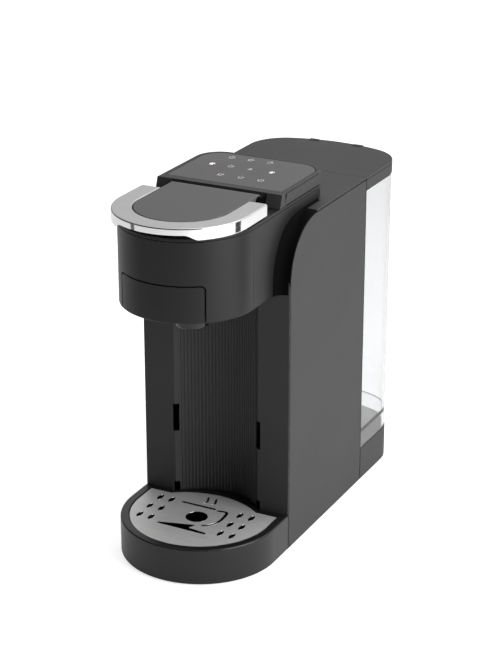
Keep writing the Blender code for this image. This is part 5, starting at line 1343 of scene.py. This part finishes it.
# --- tank ----------------------------------------------------------------------------------------
def make_tank():
    """The clear tank: wall, rim, raised floor and two knuckles."""
    wall = TANK_INSET + TANK_WALL
    rows = [(wall, TANK_UNDER_Z), (wall, TANK_Z + 0.0003), (wall - 0.0003, TANK_Z)]
    rows += [(TANK_INSET + depth, z) for depth, z in edge_rows(TANK_Z, TANK_TOP_Z, 0.0007, 0.0006)]
    rows += [(wall - 0.0004, TANK_TOP_Z), (wall, TANK_TOP_Z - 0.0004),
             (wall, TANK_FLOOR_Z + 0.0012), (wall + 0.0004, TANK_FLOOR_Z + 0.0004),
             (wall + 0.0012, TANK_FLOOR_Z)]
    tank = block("tank_shell", tank_outline(TANK_FRONT_Y), rows)
    carve(tank, rod("valve_tool", VALVE, high("tank_valve").x - 0.0017, TANK_UNDER_Z - PAST,
                    TANK_FLOOR_Z + PAST, steps=48))
    axle = (KNUCKLE.y, KNUCKLE.z)
    for sign in (-1, 1):
        near, far = sign * KNUCKLE_X - KNUCKLE_HALF, sign * KNUCKLE_X + KNUCKLE_HALF
        foot = rectangle(KNUCKLE.y - 0.002, KNUCKLE.y + 0.001, TANK_TOP_Z - 0.004, KNUCKLE.z)
        stem = prism(f"stem_{sign}", foot, near, far, "X")
        weld(stem, rod(f"eye_{sign}", axle, KNUCKLE_RADIUS, near, far, "X", 48, 0.0003))
        weld(tank, stem)
        carve(tank, rod(f"eye_tool_{sign}", axle, LID_PIN_BORE, near - 0.001, far + 0.001, "X", 24))
    dress(tank, ("clear", "casing"), lambda face: int(face.center.z > TANK_TOP_Z + GAP))
    settle(tank, "tank", None, ["water_tank"])


def make_tank_lid(detail):
    """The tank's lid: a shell with a shadow line, notches for the knuckles and cheeks."""
    wall, line_z, rear_y = 0.002, DECK_Z - 0.0022, REAR_Y + 0.01
    outline = tank_outline(TANK_FRONT_Y)
    rows = edge_rows(TANK_LID_Z, line_z, 0.0003, 0)
    rows += [(detail.groove, line_z + 0.0001), (detail.groove, line_z + 0.0006)]
    rows += edge_rows(line_z + 0.0007, DECK_Z, 0, 0.0006)
    lid = block("tank_cap", outline, rows)
    depth = KNUCKLE.z - TANK_LID_Z
    relief_z = KNUCKLE.z - math.sqrt(depth ** 2 - (REAR_Y - KNUCKLE.y) ** 2)
    relief = rectangle(-HALF - PAST, HALF + PAST, KNUCKLE.y, rear_y)
    carve(lid, prism("inside_tool", inset(outline, wall), TANK_LID_Z - PAST, DECK_Z - wall),
          prism("relief_tool", relief, TANK_LID_Z - PAST, relief_z))
    notch_half = KNUCKLE_HALF + RUNNING
    cheek_half = notch_half + 0.0035
    for sign in (-1, 1):
        middle = sign * KNUCKLE_X
        cheek = rounded_box(f"cheek_{sign}",
                            (middle - cheek_half, KNUCKLE.y - 0.003, KNUCKLE.z - 0.003),
                            (middle + cheek_half, KNUCKLE.y + 0.0005, DECK_Z - 0.001), 0.0002)
        notch = rectangle(middle - notch_half, middle + notch_half,
                          KNUCKLE.y - KNUCKLE_RADIUS - RUNNING, rear_y)
        bore = rod(f"pin_tool_{sign}", (KNUCKLE.y, KNUCKLE.z), LID_PIN_BORE,
                   middle - cheek_half - 0.003, middle + cheek_half + 0.003, "X", 24)
        weld(lid, cheek)
        carve(lid, prism(f"notch_{sign}", notch, TANK_LID_Z - 0.01, DECK_Z + 0.01), bore)
    settle(lid, "tank_lid", "casing", ["tank_lid"])


# --- drip tray -----------------------------------------------------------------------------------
def make_tray():
    """The tray: a D that follows the hollow of the column, with two hooks."""
    floor_z, wall, hook_half, hook_height = FLOOR_Z + 0.003, 0.003, 0.002, 0.014
    outline = bulged_outline(HALF, TRAY_AXIS_Y, FACE_Y - RUNNING, RECESS_Y, RECESS_RADIUS - RUNNING)
    tray = block("tray_shell", outline, edge_rows(FLOOR_Z, TRAY_TOP_Z, 0.0009, 0.0013))
    well_rows = [(0.0015, floor_z), (0.0004, floor_z + 0.0005), (0, floor_z + 0.0015),
                 (0, TRAY_TOP_Z + PAST)]
    carve(tray, prism("pocket_tool", inset(grate_outline(), -RUNNING), GRATE_Z - GAP,
                      TRAY_TOP_Z + 0.003),
          block("well_tool", inset(grate_outline(), wall), well_rows))
    low_z = SLOT_ROWS[0] + RUNNING
    for sign in (-1, 1):
        middle = sign * (SLOT_INNER_X + SLOT_WIDTH / 2)
        weld(tray, rounded_box(f"hook_{sign}",
                               (middle - hook_half, FACE_Y - 0.002 - RUNNING, low_z),
                               (middle + hook_half, FACE_Y + 0.0065, low_z + hook_height)))
    settle(tray, "drip_tray", "tray", ["drip_tray"])


def leaf(x, y):
    """A pointed oval slot that lies along Y."""
    points = []
    for step in range(32):
        angle = -2 * math.pi * step / 32
        across = math.sin(angle)
        points.append(Vector((x + LEAF_WIDTH / 2 * across * abs(across) ** 0.3,
                              y + LEAF_LENGTH / 2 * math.cos(angle))))
    return points


def bar(start, end, width):
    """A straight slot with round ends."""
    heading = math.degrees(math.atan2(end[1] - start[1], end[0] - start[0]))
    return (arc(*end, width / 2, heading - 90, heading + 90, 8)
            + arc(*start, width / 2, heading + 90, heading + 270, 8))


def stroke(path, width):
    """The outline of a stroke of even width along a path of flat points."""
    left, right = path_sides(path, width)
    return right + left[::-1]


def cup_figure():
    """The cup drawn as slots round the centre hole: rim, side, saucer and steam."""
    side = [Vector(p) for p in (
        (0.0100, -0.0170), (0.0135, -0.0162), (0.0166, -0.0158), (0.0184, -0.0166),
        (0.0192, -0.0184), (0.0198, -0.0230), (0.0202, -0.0290), (0.0195, -0.0345),
        (0.0172, -0.0393), (0.0142, -0.0428), (0.0108, -0.0450))]
    saucer = [Vector(p) for p in ((-0.0235, -0.0562), (0.0196, -0.0570), (0.0196, -0.0545),
                                  (0.0034, -0.0527), (0.0060, -0.0462), (-0.0235, -0.0545))]
    figure = [bar((-0.0225, -0.0152), (0.0068, -0.0154), 0.0022), stroke(side, 0.0021), saucer]
    for x in (-0.0062, 0.0010):
        shares = [step / 8 for step in range(9)]
        steam = [Vector((x + 0.0012 * math.sin(5 * t) + 0.0004 * t, -0.0098 + 0.0108 * t))
                 for t in shares]
        figure.append(stroke(steam, 0.0013))
    return [[p + Vector((0, FACE_Y)) for p in shape] for shape in figure]


def many_prisms(name, shapes, low_z, high_z):
    """One cutter from several flat shapes that lie apart."""
    work = bmesh.new()
    for shape in shapes:
        rings = [[work.verts.new((*p, z)) for p in shape] for z in (low_z, high_z)]
        work.faces.new(rings[0])
        work.faces.new(rings[1])
        for i in range(len(shape)):
            work.faces.new((rings[0][i - 1], rings[0][i], rings[1][i], rings[1][i - 1]))
    return new_piece(name, work)


def make_grate():
    """The steel grate with its leaf slots, centre hole and cup figure."""
    leaves = [(x, FACE_Y + y) for x in LEAF_COLUMNS for y in LEAF_ROWS]
    figure = cup_figure() + [circle((0, FACE_Y + GRATE_HOLE_Y), GRATE_HOLE_RADIUS, 64)]
    sheet = block("grate_sheet", grate_outline(), edge_rows(GRATE_Z, GRATE_TOP_Z, 0.0003, 0.0006))
    carve(sheet, many_prisms("slots_tool", [leaf(*place) for place in leaves] + figure,
                             GRATE_Z - PAST, GRATE_TOP_Z + PAST))

    def finish_of(face):
        heights = [sheet.data.vertices[i].co.z for i in face.vertices]
        through = min(heights) < GRATE_Z + FINE and max(heights) > GRATE_TOP_Z - FINE
        # The walls through the slots take the near-black rim finish: painted shade inside the slots.
        if through and abs(face.normal.z) < 0.3:
            return 1
        return 2 if 0.1 < face.normal.z < 0.97 else 0

    dress(sheet, ("grate", "rim", "chrome"), finish_of)
    settle(sheet, "drip_grate", None, ["drip_grate"])
    make_slot_lips(leaves, figure)


def make_slot_lips(leaves, figure):
    """The rolled lips round the leaf slots and round the figure."""
    wire, lip_z = 0.0002, GRATE_TOP_Z - 0.0001
    lips = grown("leaf_lips", "slot_lips", [(*place, lip_z) for place in leaves],
                 length=LEAF_LENGTH + wire, width=LEAF_WIDTH + wire, wire=wire,
                 material=MATERIALS["steel"])
    settle(lips, "drip_grate", None)
    points, edges = [], []
    for shape in figure:
        first, count = len(points), len(shape)
        points += [(*p, lip_z) for p in inset(shape, -wire / 2)]
        edges += [(first + i, first + (i + 1) % count) for i in range(count)]
    lips = grown("figure_lips", "edge_lips", points, edges, wire=wire, material=MATERIALS["steel"])
    settle(lips, "drip_grate", None)


# --- underneath ----------------------------------------------------------------------------------
CORNERS = [f"{end}_{side}" for end in ("front", "rear") for side in ("left", "right")]


def centres(nodes, z):
    """The middle of each node from above, at a height."""
    return [((low(n).x + high(n).x) / 2, (low(n).y + high(n).y) / 2, z) for n in nodes]


def make_feet():
    """Four rubber feet with a ring in their tread."""
    feet = [f"foot_{corner}" for corner in CORNERS]
    radius = (high(feet[0]).x - low(feet[0]).x) / 2
    top_z, tread = high(feet[0]).z, 0.0004
    foot = turned("foot_part", [
        (radius, top_z), (radius, 0.0008), (radius - 0.0003, 0.0002), (radius - 0.0008, 0),
        (radius * 0.72, 0), (radius * 0.68, tread), (radius * 0.62, tread), (radius * 0.58, 0),
        (radius * 0.30, 0), (radius * 0.26, tread), (0, tread), (0, top_z)], (0, 0))
    pads = copies_of(foot, "foot_pads", centres(feet, 0), "rubber")
    settle(pads, "root", None, feet)


def make_screws():
    """Four cross-head screws in the base."""
    screws = [f"base_screw_{corner}" for corner in CORNERS]
    head_z = low(screws[0]).z
    length = high(screws[0]).z - head_z
    shank, head_height, cross_half, cross_width = 0.0016, 0.0014, 0.0019, 0.0004
    screw = turned("screw_part", [
        (0, length), (shank - 0.0004, length - 0.0004), (shank, length - 0.0012),
        (shank, head_height), (0.0031, head_height), (0.0032, 0.0010), (0.0028, 0.0001),
        (0.0026, 0), (0, 0)], (0, 0), 32)
    for name, x, y in (("slot_a", cross_half, cross_width), ("slot_b", cross_width, cross_half)):
        carve(screw, prism(name, rectangle(-x, x, -y, y), -0.001, 0.001))
    heads = copies_of(screw, "screw_heads", centres(screws, head_z), "steel")
    settle(heads, "root", None, screws)


INNER_FINISH = {
    "dark": ("base_plate", "tank_bay_wall", "brew_funnel", "tank_seat", "inner_chassis"),
    "board": ("touch_board", "main_board"),
    "steel": ("lid_hinge_pin", "lower_needle", "upper_needle", "valve_spring",
              "tank_lid_pin_left", "tank_lid_pin_right"),
    "white": ("lid_switch", "flow_meter", "hose_fitting", "thermal_fuse", "lid_latch", "tank_valve",
              "tank_strainer"),
    "silicone": ("seat_seal", "feed_hose", "pump_hose", "pressure_hose", "brew_hose", "lid_seal"),
    "rubber": ("pump_bracket", "cord_gland"),
    "brass": ("pump",),
    "aluminium": ("heater_block", "thermostat"),
}


def finish_inner_parts():
    """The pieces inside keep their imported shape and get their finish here."""
    for finish, nodes in INNER_FINISH.items():
        for node in nodes:
            materials = frame["nodes"][node].data.materials
            materials.clear()
            materials.append(MATERIALS[finish])


# --- studio --------------------------------------------------------------------------------------
LIT_POINT = Vector((0.0, 0.0, 0.14))           # where the lights are turned to
CAMERA_PLACE = (0.64694, -1.26842, 0.72609)


def one_face(name, corners, material):
    """An object of one flat face."""
    mesh = bpy.data.meshes.new(name)
    mesh.from_pydata(corners, [], [(0, 1, 2, 3)])
    mesh.materials.append(material)
    return placed(name, mesh)


def soft_light(name, power, size, place):
    """A large square light that faces the machine."""
    lamp = bpy.data.lights.new(name, "AREA")
    lamp.energy = power
    lamp.size = size
    light = placed(name, lamp)
    light.location = place
    light.rotation_euler = (LIT_POINT - Vector(place)).to_track_quat("-Z", "Y").to_euler()
    return light


def floor_material():
    """A white sweep that stays white to the camera and takes only the contact shadow."""
    made, tree, shader, place = new_material("studio_floor", roughness=0.8, specular_ior_level=0.1,
                                             emission_color=(1.0, 1.0, 1.0, 1.0))
    tone = spread(tree, noise(tree, place, 60.0, 3.0), 0.86, 0.88)
    tree.links.new(scaled(tree, (1.0, 1.0, 1.0), tone), shader.inputs["Base Color"])
    path = tree.nodes.new("ShaderNodeLightPath").outputs
    to_camera, in_gloss = 0.74, 0.25
    seen = maths(tree, "ADD", maths(tree, "MULTIPLY", path["Is Camera Ray"], to_camera),
                 maths(tree, "MULTIPLY", path["Is Glossy Ray"], in_gloss))
    tree.links.new(seen, shader.inputs["Emission Strength"])
    return made


def dark_card(name, place, width, facing):
    """A dark card that only reflections see, for the bands in the chrome."""
    made, tree, shader, where = new_material(name, roughness=0.9)
    tone = spread(tree, noise(tree, where, 30.0), 0.9, 1.1)
    tree.links.new(scaled(tree, (0.1, 0.1, 0.1), tone), shader.inputs["Base Color"])
    across = Vector((-math.sin(facing), math.cos(facing), 0)) * (width / 2)
    foot = Vector(place)
    head = foot + Vector((0, 0, 0.30))
    card = one_face(name, [foot - across, foot + across, head + across, head - across], made)
    card.visible_camera = card.visible_diffuse = card.visible_shadow = False
    card.visible_transmission = False
    return card


def white_room(studio):
    """A room that is white to the camera and brighter behind the machine than before it."""
    world = bpy.data.worlds.new("white_room")
    world.use_nodes = True
    tree = world.node_tree
    background = tree.nodes["Background"]
    background.inputs["Color"].default_value = (1.0, 1.0, 1.0, 1.0)
    seen = tree.nodes.new("ShaderNodeLightPath").outputs["Is Camera Ray"]
    way = tree.nodes.new("ShaderNodeTexCoord").outputs["Object"]
    behind = add_node(tree, "ShaderNodeVectorMath", {0: way, 1: (0.32, 0.88, 0.35)},
                      operation="DOT_PRODUCT").outputs["Value"]
    shade = remap(tree, behind, -0.15, 0.85, studio.room_front, studio.room_rear)
    tree.links.new(maths(tree, "MAXIMUM", seen, shade), background.inputs["Strength"])
    bpy.context.scene.world = world


def make_camera(studio):
    """The camera, which looks down at the machine from the front right."""
    lens = bpy.data.cameras.new("studio_camera")
    lens.lens = studio.lens
    lens.sensor_width = 36.0
    camera = placed("studio_camera", lens)
    turn, lift = studio.azimuth, studio.elevation
    back = Vector((math.sin(turn) * math.cos(lift), -math.cos(turn) * math.cos(lift),
                   math.sin(lift)))
    camera.location = CAMERA_PLACE
    camera.rotation_euler = back.to_track_quat("Z", "Y").to_euler()
    bpy.context.scene.camera = camera
    return camera


def make_studio(studio):
    """White floor, white room, two large soft lights, two dark cards and the camera."""
    reach, floor_z = 3.0, -0.0002
    corners = [(-reach, -reach, floor_z), (reach, -reach, floor_z), (reach, reach, floor_z),
               (-reach, reach, floor_z)]
    floor = one_face("studio_floor", corners, floor_material())
    white_room(studio)
    lights = (soft_light("right_light", studio.right_light, 0.9, (1.15, -0.25, 0.55)),
              soft_light("top_light", studio.top_light, 1.1, (0.15, 0.35, 1.25)))
    cards = (dark_card("left_card", (-0.444, -0.425, 0.0), 0.07, math.radians(32)),
             dark_card("right_card", (0.46, 0.157, 0.0), 0.12, math.radians(35)))
    camera = make_camera(studio)
    bpy.context.scene.view_settings.view_transform = "Standard"


# --- operators -----------------------------------------------------------------------------------
class COFFEE_OT_finishes(bpy.types.Operator):
    """Build the shader groups, the materials and the geometry trees."""

    bl_idname = "coffee.finishes"
    bl_label = "Finishes"

    def execute(self, context):
        for group in (moulding_group, wear_group, brushing_group, handling_group, rib_tree,
                      lip_tree, edge_tree, copies_tree):
            group()
        make_materials(context.scene.coffee_finish)
        finish_inner_parts()
        return {"FINISHED"}


class COFFEE_OT_casing(bpy.types.Operator):
    """Build the column, its hollow and ribs, the side panels and the pedestal."""

    bl_idname = "coffee.casing"
    bl_label = "Casing"

    def execute(self, context):
        detail = context.scene.coffee_detail
        make_column(detail)
        make_ribs(detail)
        make_slot_catches()
        make_side_panels(detail)
        make_pedestal(detail)
        return {"FINISHED"}


class COFFEE_OT_head(bpy.types.Operator):
    """Build the head with its front cover and the ring under the lid."""

    bl_idname = "coffee.head"
    bl_label = "Head"

    def execute(self, context):
        detail = context.scene.coffee_detail
        make_head()
        make_head_floor()
        make_fillets(detail.fillet)
        make_cover(detail)
        make_head_ring()
        return {"FINISHED"}


class COFFEE_OT_console(bpy.types.Operator):
    """Build the console, its touch panel and the lit icons."""

    bl_idname = "coffee.console"
    bl_label = "Console"

    def execute(self, context):
        make_console()
        make_console_strip()
        make_touch_panel()
        make_icons()
        return {"FINISHED"}


class COFFEE_OT_lid(bpy.types.Operator):
    """Build the lid, its chrome handle and its underside."""

    bl_idname = "coffee.lid"
    bl_label = "Lid"

    def execute(self, context):
        make_lid()
        make_handle()
        make_lid_underside()
        return {"FINISHED"}


class COFFEE_OT_brewing(bpy.types.Operator):
    """Build the spout and the pod holder."""

    bl_idname = "coffee.brewing"
    bl_label = "Brewing"

    def execute(self, context):
        make_spout()
        make_pod_holder()
        return {"FINISHED"}


class COFFEE_OT_tank(bpy.types.Operator):
    """Build the water tank and its lid."""

    bl_idname = "coffee.tank"
    bl_label = "Tank"

    def execute(self, context):
        make_tank()
        make_tank_lid(context.scene.coffee_detail)
        return {"FINISHED"}


class COFFEE_OT_tray(bpy.types.Operator):
    """Build the drip tray and its steel grate."""

    bl_idname = "coffee.tray"
    bl_label = "Drip tray"

    def execute(self, context):
        make_tray()
        make_grate()
        return {"FINISHED"}


class COFFEE_OT_underneath(bpy.types.Operator):
    """Build the feet and the screws under the base."""

    bl_idname = "coffee.underneath"
    bl_label = "Feet and screws"

    def execute(self, context):
        make_feet()
        make_screws()
        return {"FINISHED"}


class COFFEE_OT_studio(bpy.types.Operator):
    """Build the floor, the lights and the camera."""

    bl_idname = "coffee.studio"
    bl_label = "Studio"

    def execute(self, context):
        make_studio(context.scene.coffee_studio)
        return {"FINISHED"}


STEPS = (COFFEE_OT_finishes, COFFEE_OT_casing, COFFEE_OT_head, COFFEE_OT_console, COFFEE_OT_lid,
         COFFEE_OT_brewing, COFFEE_OT_tank, COFFEE_OT_tray, COFFEE_OT_underneath, COFFEE_OT_studio)
SETTINGS = {"coffee_finish": MachineFinish, "coffee_detail": MachineDetail,
            "coffee_studio": StudioSettings}


class COFFEE_PT_build(bpy.types.Panel):
    """The build steps and their settings in the 3D view's sidebar."""

    bl_idname = "COFFEE_PT_build"
    bl_label = "Pod coffee machine"
    bl_space_type = "VIEW_3D"
    bl_region_type = "UI"
    bl_category = "Coffee"

    def draw(self, context):
        for name, group in SETTINGS.items():
            column = self.layout.column(align=True)
            for setting in group.__annotations__:
                column.prop(getattr(context.scene, name), setting)
        for step in STEPS:
            self.layout.operator(step.bl_idname)


CLASSES = (*SETTINGS.values(), *STEPS, COFFEE_PT_build)


def register():
    """Add the settings, the operators and the panel."""
    for entry in CLASSES:
        bpy.utils.register_class(entry)
    for name, group in SETTINGS.items():
        setattr(bpy.types.Scene, name, bpy.props.PointerProperty(type=group))


def unregister():
    """Take them away again."""
    for name in SETTINGS:
        delattr(bpy.types.Scene, name)
    for entry in reversed(CLASSES):
        bpy.utils.unregister_class(entry)


def main():
    """Build every piece in order."""
    register()
    for step in STEPS:
        group, name = step.bl_idname.split(".")
        getattr(getattr(bpy.ops, group), name)()


if __name__ == "__main__":
    main()
